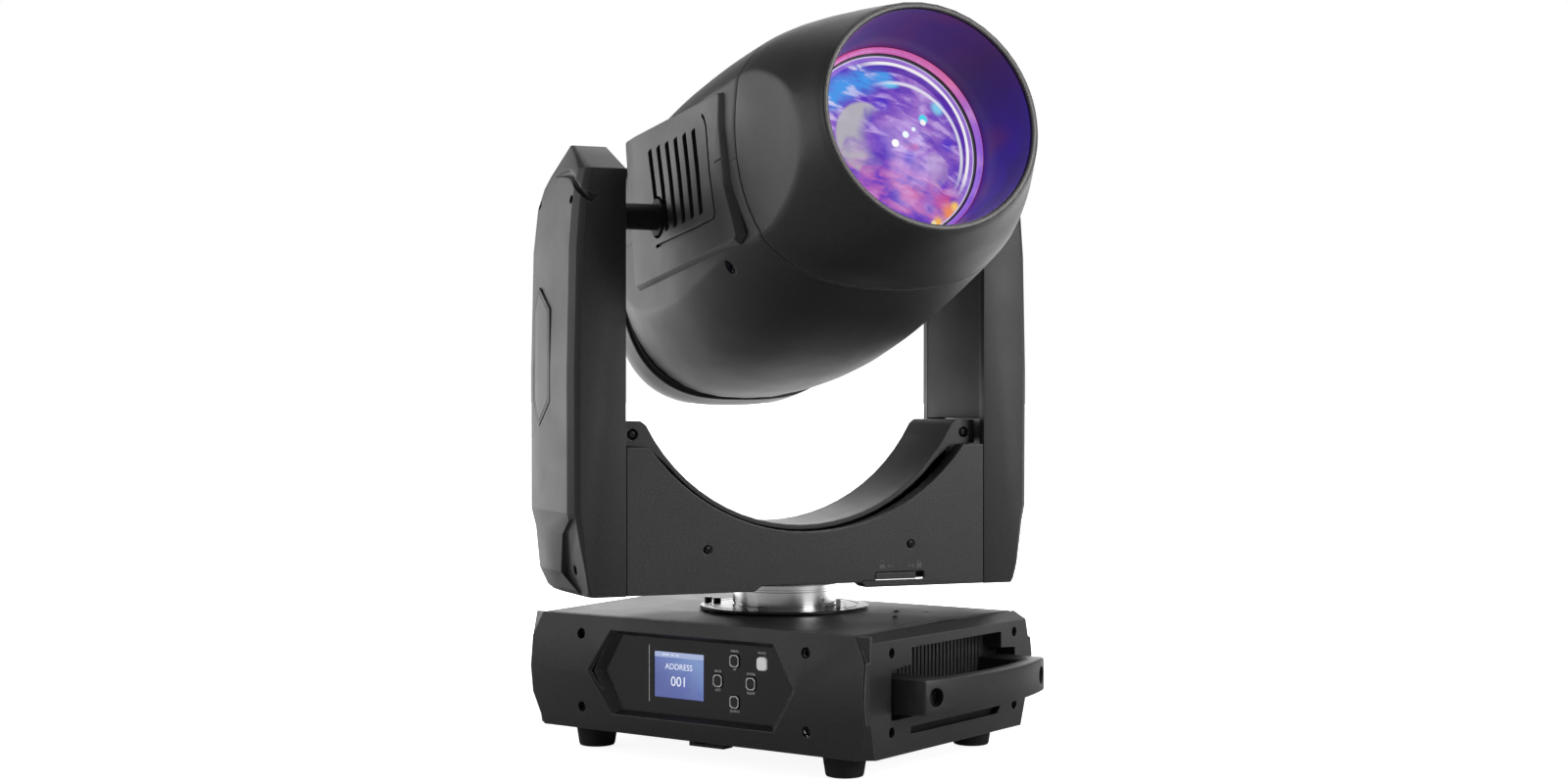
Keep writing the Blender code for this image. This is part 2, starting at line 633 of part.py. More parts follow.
def head_shells(frame):
    shaft_space = cylinder("x", TILT_SHAFT_R + 1.0, -150, 150, 0, 0, 28)
    node("head_upper_shell", half_shell(True), (SATIN, 0.5), frame, cuts=[shaft_space])
    node("head_lower_shell", half_shell(False), (SATIN, 0.5), frame, cuts=[shaft_space])


def front_cowl(frame):
    count = 48
    outer = [(COWL_U, 116.5, 103.2, 103.7, 2.5), (205, 113.0, 100.2, 100.8, 2.4), (232, 104.0, 95.2, 95.6, 2.25),
             (256, 93.5, 89.8, 90.0, 2.1), (RIM_U, RIM_R, RIM_R, RIM_R, 2.0)]
    inner = [(RIM_U, RIM_INNER_R), (207, 74.5), (206, LENS_R + 0.5), (196, LENS_R + 0.5), (196, 78)]
    rings = [[beam(x, u, v) for x, v in section(half, high, low, power, count, side_flat(u))]
             for u, half, high, low, power in outer]
    rings += [[beam(x, u, v) for x, v in section(r, r, r, 2.0, count)] for u, r in inner]
    rings.append([beam(x, COWL_U, v) for x, v in section(112, 99.5, 100, 2.5, count, COWL_SIDE_X - COVER)])
    node("head_front_cowl", loft(rings, closed=True), (BLACK, 0.5), frame)
    lens = [(4, 191), (40, 193), (LENS_R, 197.5), (LENS_R, 203.5), (56, 208.5), (36, 213), (14, 215.8), (3, 216.2)]
    node("front_lens", turned("y", [(r, -u) for r, u in lens], count=48), ((0.55, 0.5, 0.8), 0.05), frame)


def rear_cap(frame):
    sizes = [(108.0, 113.5, 126.0), (103.0, 108.0, 124.0), (92.0, 98.0, 115.0), (80.0, 86.0, 102.0)]
    count = 48
    outer = [[beam(x, u, v) for x, v in section(*size, 2.9, count)] for u, size in zip(CAP_U, sizes)]
    inner_u = (CAP_U[0], CAP_U[1], CAP_U[2] + 1, CAP_U[3] + COVER)
    inner = [[beam(x, u, v) for x, v in section(*(value - COVER for value in size), 2.9, count, HEAD_SIDE_X - COVER)]
             for u, size in zip(inner_u, sizes)]
    points, faces = loft(outer + list(reversed(inner)), closed=True)
    total = len(outer) + len(inner)
    back_rings = (len(outer) - 1, len(outer))
    faces = [face for face in faces if not all(index // count in back_rings for index in face)]
    faces.extend(tuple(range(back * count, (back + 1) * count)) for back in back_rings)
    assert total * count == len(points)
    slots = merged(*(box((-50, 50), (180, 200), (v, v + 5)) for v in [-55 + 11 * step for step in range(10)]))
    node("head_rear_cap", (points, faces), (BLACK, 0.5), frame, cuts=[slots])


def vent_panels(frame):
    face = [(-66, 78), (-22, 72), (166, 46), (174, -60), (166, -66), (-40, -34), (-66, -30)]
    centre = (55, 8)
    foot = [(centre[0] + (u - centre[0]) * 1.035, centre[1] + (v - centre[1]) * 1.07) for u, v in face]
    block = loft([[beam(98, u, v) for u, v in foot], [beam(PANEL_X - 3, u, v) for u, v in foot],
                  [beam(PANEL_X, u, v) for u, v in face]])
    slots = []
    for step in range(6):
        u = 20 + 17.8 * step
        top = 50 - 2.8 * step
        low = -20 - 2.0 * step
        outline = [beam(0, u, top), beam(0, u + 6, top - 1), beam(0, u + 9, low - 1), beam(0, u + 3, low)]
        slots.append(prism("x", [(y, z) for _, y, z in outline], PANEL_X - 3.5, 130))
    hub = cylinder("x", TILT_SHAFT_R + 1.5, 90, 130, 0, 0, 28)
    for side in ("right", "left"):
        shape = block
        tools = [merged(*slots), hub]
        if side == "left":
            shape = mirrored_x(block)
            tools = [mirrored_x(tool) for tool in tools]
        node(f"vent_panel_{side}", shape, (BLACK, 0.5), frame, cuts=[grown_shell(0.9)] + tools)


def head_insides(frame):
    low_u, high_u = -22.0, 158.0
    outline = [(-101, -low_u), (101, -low_u), (101, -high_u), (98, -high_u), (98, -(low_u + 3)),
               (-98, -(low_u + 3)), (-98, -high_u), (-101, -high_u)]
    window = cylinder("y", 22, 10, 30, 0, 0, 28)
    node("head_chassis", prism("z", outline, -24, 24), (ZINC, 0.4, 0.9), frame, cuts=[window])

    right = [(24, 101.3), (24, 102.7), (TILT_SHAFT_R, 102.7), (TILT_SHAFT_R, 176), (9, 176), (9, 101.3)]
    node("tilt_shaft_right", ring("x", right, count=32), (STEEL, 0.25, 1.0), frame)
    left = [(24, -101.3), (24, -102.7), (TILT_SHAFT_R, -102.7), (TILT_SHAFT_R, -186), (9, -186), (9, -101.3)]
    wheel = prism("x", toothed_outline(TILT_PULLEY_R, 36), *TILT_BELT_X)
    bore = cylinder("x", 12, -190, -165, 0, 0, 24)
    node("tilt_shaft_left", ring("x", left, count=32), (STEEL, 0.25, 1.0), frame, joins=[wheel], cuts=[bore])

    comb = [(-66, 72), (66, 72)]
    pitch = 132 / 11
    for step in range(11):
        x = 66 - pitch * step
        comb += [(x, 106), (x - 2.4, 106), (x - 2.4, 79), (x - pitch, 79)]
    comb[-1] = (-66, 79)
    engine = box((-42, 42), (24.5, 76), (-42, 42))
    node("lamp_engine", prism("z", comb, -56, 56), (STEEL, 0.45, 0.9), frame, joins=[engine], smooth=False)

    blades = []
    for blade in range(7):
        start = 2 * math.pi * blade / 7
        for r, turn in ((20, 0.02), (66, 0.24), (66, 0.5), (20, 0.62)):
            blades.append((r * math.cos(start + turn), r * math.sin(start + turn)))
    node("fan_rotor", prism("y", blades, 130, 150), (BLACK, 0.5), frame, origin=(0, 140, 0), smooth=False)

    for name, u, x, v, radius in (("colour_wheel", 2, -38, 26, 56), ("gobo_wheel", 16, 38, 26, 56)):
        wheel = tube("y", 4, radius, -u - 1.5, -u + 1.5, x, v, 36)
        spots = merged(*(cylinder("y", 11, -u - 5, -u + 5, x + 40 * math.cos(t), v + 40 * math.sin(t), 16)
                         for t in [2 * math.pi * step / 7 for step in range(7)]))
        node(name, wheel, ((0.3, 0.32, 0.35), 0.3, 0.7), frame, origin=(x, -u, v), cuts=[spots])
    for name, u, radius in (("zoom_carriage", 92, 52), ("focus_carriage", 134, 58)):
        plate = cylinder("y", radius, -u - 4, -u + 4, count=36)
        bar = box((-97.4, 97.4), (-u - 4, -u + 4), (-14, 14))
        opening = cylinder("y", radius - 14, -u - 10, -u + 10, count=32)
        node(name, plate, (SATIN, 0.4, 0.5), frame, origin=(0, -u, 0), joins=[bar], cuts=[opening])


def empty(name, location, rotation, parent=None):
    made = bpy.data.objects.new(name, None)
    bpy.context.scene.collection.objects.link(made)
    made.location = Vector(location) * MM
    made.rotation_euler = rotation
    made.parent = parent
    return made


def build():
    for old in list(bpy.data.objects):
        bpy.data.objects.remove(old)
    base_tray()
    base_covers()
    connectors()
    side_covers()
    handles()
    controls()
    feet()
    safety_eye()
    base_insides()
    pan_frame = empty("pan_frame", (0, 0, 0), (0, 0, PAN_REST))
    tilt_frame = empty("tilt_frame", (0, 0, TILT_Z), (-TILT_REST, 0, 0), pan_frame)
    yoke_chassis(pan_frame)
    crossbar_covers(pan_frame)
    saddle_liner(pan_frame)
    arm_shells(pan_frame)
    pan_drive(pan_frame)
    tilt_drive(pan_frame)
    head_shells(tilt_frame)
    front_cowl(tilt_frame)
    rear_cap(tilt_frame)
    vent_panels(tilt_frame)
    head_insides(tilt_frame)


build()
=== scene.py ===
"""Looks of the moving head light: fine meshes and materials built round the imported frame.

Lengths are millimetres in the local frames below; every mesh is made in metres, in place. BASE stands
still, YOKE has the pan axis as its own z axis and x along the tilt axis, and HEAD has its origin on
the tilt axis, with the beam along its own -y.
"""

import json
import math

import bmesh
import bpy
from mathutils import Matrix, Vector


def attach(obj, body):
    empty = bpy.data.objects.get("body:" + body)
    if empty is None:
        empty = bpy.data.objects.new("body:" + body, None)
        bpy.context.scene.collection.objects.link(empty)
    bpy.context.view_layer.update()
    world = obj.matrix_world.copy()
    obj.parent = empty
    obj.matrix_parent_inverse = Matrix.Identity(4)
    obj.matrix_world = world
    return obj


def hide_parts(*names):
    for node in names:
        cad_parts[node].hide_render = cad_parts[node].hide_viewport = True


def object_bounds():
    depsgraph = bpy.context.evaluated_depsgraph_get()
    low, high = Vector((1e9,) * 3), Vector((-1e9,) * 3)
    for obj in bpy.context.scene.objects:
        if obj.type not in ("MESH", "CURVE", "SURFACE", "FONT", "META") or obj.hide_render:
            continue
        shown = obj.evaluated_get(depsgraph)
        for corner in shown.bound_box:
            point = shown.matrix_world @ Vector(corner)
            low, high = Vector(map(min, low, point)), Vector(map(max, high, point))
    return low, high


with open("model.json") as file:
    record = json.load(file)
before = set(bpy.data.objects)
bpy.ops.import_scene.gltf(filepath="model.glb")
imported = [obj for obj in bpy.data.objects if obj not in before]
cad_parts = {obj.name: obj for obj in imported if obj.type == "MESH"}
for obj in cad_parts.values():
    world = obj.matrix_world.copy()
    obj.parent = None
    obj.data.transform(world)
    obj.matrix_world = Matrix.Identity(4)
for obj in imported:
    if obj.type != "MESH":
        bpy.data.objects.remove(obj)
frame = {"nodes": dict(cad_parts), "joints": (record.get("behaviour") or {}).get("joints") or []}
CAD_BOX = [list(corner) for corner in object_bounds()]

MM = 0.001
JOINTS = {joint["name"]: joint for joint in frame["joints"]}
ACROSS = -Vector(JOINTS["tilt"]["axis"])
BEAM = Vector(JOINTS["zoom"]["axis"])
UP = Vector((0, 0, 1))


def axes(right, back, up, origin):
    turn = Matrix((right, back, up)).transposed().to_4x4()
    return Matrix.Translation(origin) @ turn @ Matrix.Scale(MM, 4)


ROUND = 128        # points round the largest turned pieces
BASE = Matrix.Scale(MM, 4)
YOKE = axes(ACROSS, UP.cross(ACROSS), UP, (0, 0, 0))
HEAD = axes(ACROSS, -BEAM, ACROSS.cross(-BEAM), JOINTS["tilt"]["pos_m"])
PLACES = {"base": BASE, "yoke": YOKE, "head": HEAD}
SIDES = (("left", -1), ("right", 1))
FACES = (("front", -1), ("rear", 1))


# ---------------------------------------------------------------- outlines and solids

def place_point(axis, a, b, along):
    if axis == "x":
        return (along, a, b)
    if axis == "y":
        return (a, along, b)
    return (a, b, along)


def loft(rings, closed=False):
    """Skins rings of equal length. Open lofts get end caps; closed ones join the last ring to the first."""
    count = len(rings[0])
    points = [point for ring in rings for point in ring]
    faces = []
    steps = len(rings) if closed else len(rings) - 1
    for step in range(steps):
        low = step * count
        high = ((step + 1) % len(rings)) * count
        for index in range(count):
            after = (index + 1) % count
            faces.append((low + index, low + after, high + after, high + index))
    if not closed:
        faces.append(tuple(range(count)))
        faces.append(tuple(range((len(rings) - 1) * count, len(rings) * count)))
    return points, faces


def prism(axis, outline, low, high):
    return loft([[place_point(axis, a, b, along) for a, b in outline] for along in (low, high)])


def box(x, y, z):
    return prism("z", [(x[0], y[0]), (x[1], y[0]), (x[1], y[1]), (x[0], y[1])], *z)


def circle(radius, count, a=0.0, b=0.0):
    steps = [2 * math.pi * index / count for index in range(count)]
    return [(a + radius * math.cos(step), b + radius * math.sin(step)) for step in steps]


def cylinder(axis, radius, low, high, a=0.0, b=0.0, count=40):
    return prism(axis, circle(radius, count, a, b), low, high)


def turned(axis, profile, a=0.0, b=0.0, count=96, closed=False):
    """Turns a (radius, along) profile: open with flat ends, or closed, a ring that stays off the axis."""
    if not closed:
        return loft([[place_point(axis, p, q, h) for p, q in circle(r, count, a, b)] for r, h in profile])
    rings = []
    for index in range(count):
        angle = 2 * math.pi * index / count
        c, s = math.cos(angle), math.sin(angle)
        rings.append([place_point(axis, a + r * c, b + r * s, h) for r, h in profile])
    return loft(rings, closed=True)


def merged(*parts):
    points = []
    faces = []
    for part_points, part_faces in parts:
        start = len(points)
        points.extend(part_points)
        faces.extend(tuple(start + index for index in face) for face in part_faces)
    return points, faces


def mirrored_x(geometry):
    return [(-x, y, z) for x, y, z in geometry[0]], [tuple(reversed(face)) for face in geometry[1]]


def rounded(outline, radius, steps=5):
    """An outline with its corners rounded by quadratic curves that start radius away from each corner."""
    made = []
    count = len(outline)
    for index, corner in enumerate(outline):
        here = Vector(corner)
        before = Vector(outline[index - 1]) - here
        after = Vector(outline[(index + 1) % count]) - here
        reach = min(radius, before.length * 0.45, after.length * 0.45)
        start = here + before.normalized() * reach
        end = here + after.normalized() * reach
        for step in range(steps + 1):
            t = step / steps
            made.append(tuple(start * (1 - t) ** 2 + here * 2 * t * (1 - t) + end * t * t))
    return made


def strip(points, width):
    """The outline of a band of even width along a polyline."""
    sides = ([], [])
    for index, here in enumerate(points):
        before = Vector(points[max(index - 1, 0)])
        after = Vector(points[min(index + 1, len(points) - 1)])
        along = (after - before).normalized()
        across = Vector((-along.y, along.x)) * width / 2
        sides[0].append(tuple(Vector(here) + across))
        sides[1].append(tuple(Vector(here) - across))
    return sides[0] + list(reversed(sides[1]))


def rod(points, radii, count=12):
    """A round rod along points, with a radius for each."""
    path = [Vector(point) for point in points]
    rings = []
    side = Vector((0.31, 0.17, 0.93))
    for index, here in enumerate(path):
        ahead = (path[min(index + 1, len(path) - 1)] - path[max(index - 1, 0)]).normalized()
        first = ahead.cross(side).normalized()
        second = ahead.cross(first)
        rings.append([tuple(here + (first * a + second * b)) for a, b in circle(radii[index], count)])
    return loft(rings)


def curve_points(points, count):
    """A smooth curve through points, as count points."""
    path = [Vector(point) for point in points]
    path = [path[0] * 2 - path[1]] + path + [path[-1] * 2 - path[-2]]
    spans = len(path) - 3
    made = []
    for index in range(count):
        along = spans * index / (count - 1)
        span = min(int(along), spans - 1)
        t = along - span
        a, b, c, d = path[span:span + 4]
        made.append(0.5 * ((2 * b) + (c - a) * t + (2 * a - 5 * b + 4 * c - d) * t * t
                           + (3 * b - a - 3 * c + d) * t ** 3))
    return made


# ---------------------------------------------------------------- pieces

def linked(name, data):
    made = bpy.data.objects.new(name, data)
    bpy.context.scene.collection.objects.link(made)
    return made


def mesh_object(name, geometry, place=BASE):
    points, faces = geometry
    mesh = bpy.data.meshes.new(name)
    mesh.from_pydata([place @ Vector(point) for point in points], [], faces)
    edit = bmesh.new()
    edit.from_mesh(mesh)
    bmesh.ops.recalc_face_normals(edit, faces=edit.faces)
    edit.to_mesh(mesh)
    edit.free()
    return linked(name, mesh)


def copied(name, node):
    """A new piece with a CAD node's shape, its flat stretches joined into whole faces."""
    mesh = frame["nodes"][node].data
    points = [tuple(vertex.co) for vertex in mesh.vertices]
    faces = [tuple(polygon.vertices) for polygon in mesh.polygons]
    made = linked(name, bpy.data.meshes.new(name))
    made.data.from_pydata(points, [], faces)
    cleaned(made)
    return made


def cleaned(piece, flat=0.6):
    edit = bmesh.new()
    edit.from_mesh(piece.data)
    bmesh.ops.remove_doubles(edit, verts=edit.verts, dist=0.02 * MM)
    bmesh.ops.dissolve_degenerate(edit, edges=edit.edges, dist=0.01 * MM)
    bmesh.ops.dissolve_limit(edit, angle_limit=math.radians(flat), verts=edit.verts, edges=edit.edges)
    edit.to_mesh(piece.data)
    edit.free()


def applied(piece):
    """Works a piece's modifiers into its mesh."""
    graph = bpy.context.evaluated_depsgraph_get()
    result = bpy.data.meshes.new_from_object(piece.evaluated_get(graph))
    piece.modifiers.clear()
    piece.data = result


def cut(piece, geometry, place):
    """Cuts a solid from a piece."""
    tool = mesh_object("tool", geometry, place)
    modifier = piece.modifiers.new("tool", "BOOLEAN")
    modifier.operation = "DIFFERENCE"
    modifier.object = tool
    applied(piece)
    bpy.data.objects.remove(tool)


def add_bevel(piece, edge, segments, sharp):
    cleaned(piece)
    bevel = piece.modifiers.new("edge", "BEVEL")
    bevel.width = edge * MM
    bevel.segments = segments
    bevel.limit_method = "ANGLE"
    bevel.angle_limit = math.radians(sharp)
    bevel.use_clamp_overlap = False
    bevel.harden_normals = True
    bevel.miter_outer = "MITER_ARC"


def bevelled(piece, edge, segments, sharp):
    """Rounds a piece's edges for good, before anything finer is cut in it."""
    add_bevel(piece, edge, segments, sharp)
    piece.modifiers["edge"].harden_normals = False
    piece.modifiers["edge"].use_clamp_overlap = True
    applied(piece)


def show(piece, body, look, replaces=None, edge=0.0, segments=2, sharp=30, slot=None):
    """Finishes a piece: softened edges, its material, the body it rides on and the node it stands for."""
    if edge:
        add_bevel(piece, edge, segments, sharp)
    piece.data.shade_smooth()
    piece.data.set_sharp_from_angle(angle=math.radians(sharp))
    piece.data.materials.clear()
    piece.data.materials.append(look)
    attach(piece, body)
    if replaces:
        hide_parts(replaces)


def shown(name, geometry, body, look, replaces=None, **finish):
    """A piece made and finished in one go, in its body's own frame."""
    show(mesh_object(name, geometry, PLACES.get(body, BASE)), body, look, replaces, **finish)


def refined(name, node, body, look, **finish):
    """A piece with a CAD node's own shape and a finer finish."""
    show(copied(name, node), body, look, node, **finish)


def sided(build):
    """Calls build(side, geometry turner) for the right side and, mirrored, for the left."""
    build("right", lambda geometry: geometry)
    build("left", mirrored_x)


# ---------------------------------------------------------------- materials

def grey(value):
    return (value, value, value)


def scaled(colour, factor):
    return [part * factor for part in colour]


class Paint:
    """A node tree under way; an input can be a number, a direction, a colour or another node's output."""

    def __init__(self, owner, space="Object"):
        owner.use_nodes = True
        self.owner = owner
        self.tree = owner.node_tree
        self.place = self.add("TexCoord", {})[space]

    def feed(self, slot, value):
        if isinstance(value, bpy.types.NodeSocket):
            self.tree.links.new(value, slot)
        elif slot.type == "RGBA":
            slot.default_value = (*value, 1.0)
        else:
            slot.default_value = value

    def add(self, kind, inputs, **settings):
        """Makes a node and returns its outputs."""
        made = self.tree.nodes.new("ShaderNode" + kind)
        for name, value in settings.items():
            setattr(made, name, value)
        for name, value in inputs.items():
            self.feed(made.inputs[name], value)
        return made.outputs

    def finish(self, node="Principled BSDF", **values):
        """Feeds the last shader; an underscore in a name stands for a space."""
        for name, value in values.items():
            self.feed(self.tree.nodes[node].inputs[name.replace("_", " ")], value)
        return self.owner

    def lit(self, colour, strength, dim, roughness):
        """Finishes a surface lit from within: its colour shines a little and also takes light."""
        taken = self.blend(dim, grey(0.0), colour)
        return self.finish(Emission_Color=colour, Emission_Strength=strength, Base_Color=taken,
                           Roughness=roughness)

    def noise(self, scale, detail=2.0, distortion=0.0, place=None):
        inputs = {"Vector": place or self.place, "Scale": scale, "Detail": detail, "Distortion": distortion}
        return self.add("TexNoise", inputs)["Fac"]

    def ramp(self, source, stops):
        made = self.tree.nodes.new("ShaderNodeValToRGB")
        self.feed(made.inputs["Fac"], source)
        slots = made.color_ramp.elements
        while len(slots) < len(stops):
            slots.new(0.5)
        for slot, (spot, colour) in zip(slots, stops):
            slot.position = spot
            slot.color = (*colour, 1.0)
        return made.outputs["Color"]

    def maths(self, operation, *values):
        return self.add("Math", dict(enumerate(values)), operation=operation)[0]

    def both(self, first, second):
        return self.maths("MULTIPLY", first, second)

    def dot(self, first, second):
        return self.add("VectorMath", {0: first, 1: second}, operation="DOT_PRODUCT")["Value"]

    def blend(self, share, first, second):
        """Mixes two colours."""
        return self.add("Mix", {0: share, 6: first, 7: second}, data_type="RGBA")[2]

    def step(self, value, low, high, top=1.0):
        """0 at low, top at high, smooth between."""
        inputs = {"Value": value, "From Min": low, "From Max": high, "To Max": top}
        return self.add("MapRange", inputs, interpolation_type="SMOOTHSTEP")["Result"]

    def bump(self, height, strength, distance, **inputs):
        inputs.update(Height=height, Strength=strength, Distance=distance * MM)
        return self.add("Bump", inputs)["Normal"]


# The grain's and the blotches' scales, how far the gloss wanders and how wide the painted edge highlight
# is.
GRAIN_SCALE = 900.0
BLOTCH_SCALE = 22.0
GLOSS_SPREAD = 0.035
EDGE_HIGHLIGHT_WIDTH = 1.1 * MM


def start_paint(name):
    return Paint(bpy.data.materials.new(name))


def textured(name, colour, roughness, grain=0.30, grain_size=1.0, metallic=0.0, edge_highlight=0.0):
    """Moulded or coated surface: fine grain, blotches in its gloss, and softened edges painted paler as a
    highlight.
    """
    paint = start_paint(name)
    fine = paint.noise(GRAIN_SCALE / grain_size, 3.0)
    tint = paint.ramp(fine, [(0.35, scaled(colour, 0.72)), (0.65, scaled(colour, 1.25))])
    gloss = {"Value": paint.noise(BLOTCH_SCALE, 4.0, 0.3), "From Min": 0.3, "From Max": 0.7,
             "To Min": roughness - GLOSS_SPREAD, "To Max": roughness + GLOSS_SPREAD}
    eased = {}
    # Painted highlight: edges are painted paler, and their shading normals are rounded.
    if edge_highlight:
        near = paint.add("Bevel", {"Radius": EDGE_HIGHLIGHT_WIDTH}, samples=4)["Normal"]
        flat = paint.dot(near, paint.add("NewGeometry", {})["Normal"])
        share = paint.add("MapRange", {"Value": flat, "From Min": 0.985, "From Max": 0.90})["Result"]
        tint = paint.blend(share, tint, scaled(colour, edge_highlight))
        eased = {"Normal": near}
    normal = paint.bump(fine, grain, 0.4, **eased)
    rough = paint.add("MapRange", gloss)["Result"]
    return paint.finish(Base_Color=tint, Roughness=rough, Metallic=metallic, Normal=normal)


def brushed(name, colour, roughness, stretch, strength):
    """Turned metal, its fine lines closest along the largest part of the stretch."""
    paint = start_paint(name)
    drawn = paint.add("VectorMath", {0: paint.place, 1: stretch}, operation="MULTIPLY")["Vector"]
    lines = paint.noise(40.0, 3.0, place=drawn)
    tint = paint.ramp(lines, [(0.3, scaled(colour, 0.85)), (0.7, colour)])
    normal = paint.bump(lines, strength, 0.1)
    return paint.finish(Base_Color=tint, Roughness=roughness, Metallic=1.0, Normal=normal)


def plain(name, colour, roughness, metallic=0.0, glow=0.0):
    """For trim too small to show a grain, such as print and screw heads, and for closed-in pieces."""
    paint = start_paint(name)
    if glow:
        paint.finish(Emission_Color=colour, Emission_Strength=glow)
    return paint.finish(Base_Color=colour, Roughness=roughness, Metallic=metallic)


class LensPaint(Paint):
    """A lit surface at the front of the head, painted layer on layer.

    Its across and up are millimetres from the beam's axis, in the head's own directions.
    """

    def __init__(self, name):
        super().__init__(bpy.data.materials.new(name))
        inputs = {0: self.place, 1: HEAD.translation}
        centred = self.add("VectorMath", inputs, operation="SUBTRACT")["Vector"]
        self.across = self.both(self.dot(centred, ACROSS), 1000.0)
        self.up = self.both(self.dot(centred, ACROSS.cross(-BEAM)), 1000.0)
        self.colour = None

    def slant(self, across, up):
        """How far a point lies along a direction."""
        return self.maths("ADD", self.both(self.across, across), self.both(self.up, up))

    def streaks(self):
        """Noise drawn out along a gentle slope."""
        inputs = {0: self.both(self.slant(0.93, -0.3), 0.045), 1: self.both(self.slant(0.3, 0.93), 0.13)}
        return self.noise(1.0, 5.0, 0.5, self.add("CombineXYZ", inputs)[0])

    def gap(self, value, middle):
        return self.maths("ABSOLUTE", self.maths("SUBTRACT", value, middle))

    def far(self, a=0.0, b=0.0, stretch=1.0):
        """Distance from a point, with heights counted stretch times over."""
        first = self.maths("POWER", self.gap(self.across, a), 2.0)
        second = self.maths("POWER", self.gap(self.up, b), 2.0)
        return self.maths("SQRT", self.maths("ADD", first, self.both(second, stretch * stretch)))

    def spot(self, a, b, radius, soft, top=1.0, stretch=1.0):
        return self.step(self.far(a, b, stretch), radius + soft, radius, top)

    def band(self, far, radius, half, soft, top=1.0):
        return self.step(self.gap(far, radius), half + soft, half, top)

    def lay(self, share, tone):
        self.colour = self.blend(share, self.colour, tone)


def lens_material():
    """Deep coated lens, its colours a painted reflection that glows a little: violet swirls from the optics
    behind it, bright rims as painted highlights, a grey crescent, bright painted dots.
    """
    lens = LensPaint("coated_lens_painted_reflections")
    lay = lens.lay
    both = lens.both
    spot = lens.spot
    step = lens.step
    # Violet swirls, and the pink, blue and cyan patches and streaks laid over them, are painted
    # reflections.
    lens.colour = lens.ramp(lens.noise(19.0, 3.0, 1.3), [
        (0.30, (0.06, 0.020, 0.58)), (0.42, (0.17, 0.07, 0.58)), (0.50, (0.25, 0.11, 0.58)),
        (0.58, (0.36, 0.17, 0.64)), (0.70, (0.58, 0.42, 0.85))])
    warm = lens.noise(34.0, 3.0, 0.8)
    for a, b, radius, stretch in ((-16, -19, 9, 1.6), (12, -38, 12, 2.0), (12, -4, 7, 2.0),
                                  (40, -44, 12, 1.2)):
        lay(both(spot(a, b, radius * 0.3, radius, 0.9, stretch), step(warm, 0.35, 0.6)), (0.62, 0.09, 0.33))
    for a, b, radius in ((9, -12, 7), (45, 0, 8), (38, -30, 6), (-8, 30, 9)):
        lay(spot(a, b, 1, radius, 0.75), (0.06, 0.03, 0.62))
    streak = lens.streaks()
    lay(step(streak, 0.50, 0.68, 0.8), (0.62, 0.45, 0.88))
    lay(step(streak, 0.48, 0.34, 0.6), (0.09, 0.03, 0.48))
    lay(both(step(lens.slant(0.3, 1.0), -8, -32), step(streak, 0.42, 0.58, 0.6)), (0.60, 0.13, 0.44))
    # A grey crescent at the left: a painted reflection of a softbox.
    crescent = both(spot(-25, 3, 20, 2.5, 1.0, 0.8), lens.maths("SUBTRACT", 1.0, spot(-1, 3, 20, 12)))
    lay(both(crescent, step(warm, 0.25, 0.5, 0.95)), (0.50, 0.48, 0.52))
    ghost = both(spot(30, -20, 12, 2), spot(46, -16, 20, 3, 0.6))
    lay(both(ghost, 0.45), (0.50, 0.40, 0.55))
    for a, b, radius in ((-48, 33, 12), (-36, 42, 13), (-20, 48, 13), (-4, 52, 10)):
        lay(both(spot(a, b, 3, radius), step(streak, 0.30, 0.46, 0.9)), (0.06, 0.36, 0.90))
    lay(both(step(lens.slant(-1.0, 1.0), 50, 80), step(streak, 0.52, 0.64, 0.8)), (0.78, 0.72, 0.95))
    lay(spot(2, 45, 2, 7, 0.9, 2.2), (0.12, 0.62, 0.95))
    lay(spot(39, 29, 2, 6, 0.9), (0.25, 0.70, 0.95))
    centre = lens.far()
    right_up = step(lens.slant(0.78, 0.62), 12, 40)
    # Rings near the rim at the upper right: a dark violet ring between bright rings painted as highlights.
    lay(both(lens.band(centre, 58.5, 2.2, 1.2, 0.85), right_up), (0.10, 0.03, 0.42))
    lay(both(lens.band(lens.far(5, -5), 51.8, 0.4, 2.0, 0.85), right_up), (0.92, 0.90, 1.0))
    lay(both(lens.band(centre, 63.6, 0.9, 1.1), right_up), (1.0, 0.98, 1.0))
    lay(step(centre, 64.8, 66.4, 0.75), (0.36, 0.20, 0.72))
    outer = step(centre, 47, 52)
    for a, b, radius, tone in ((44, -50, 10, (0.95, 0.30, 0.12)), (49, -45, 4.5, (1.0, 0.62, 0.15)),
                               (34, -58, 6, (1.0, 0.50, 0.10)), (30, -59, 2.5, (1.0, 0.85, 0.45))):
        lay(both(spot(a, b, 1, radius), outer), tone)
    lay(step(centre, 68.4, 69.2), (0.80, 0.72, 0.98))
    # Bright painted dots along a diagonal.
    for a, b, radius, tone in ((-1.3, -1.7, 2.3, (1.0, 1.0, 1.0)), (7.8, 5.4, 2.0, (0.85, 0.97, 1.0)),
                               (15.0, 10.0, 1.0, (0.8, 0.95, 1.0)), (24.5, 18.6, 3.0, (0.10, 0.72, 0.95)),
                               (24.0, 16.0, 1.8, (1.0, 1.0, 1.0))):
        lay(spot(a, b, radius, 1.2), tone)
    # The painted reflections glow a little.
    lens.lit(lens.colour, 0.86, 0.08, 0.12)
    return lens.finish(Specular_IOR_Level=0.12)


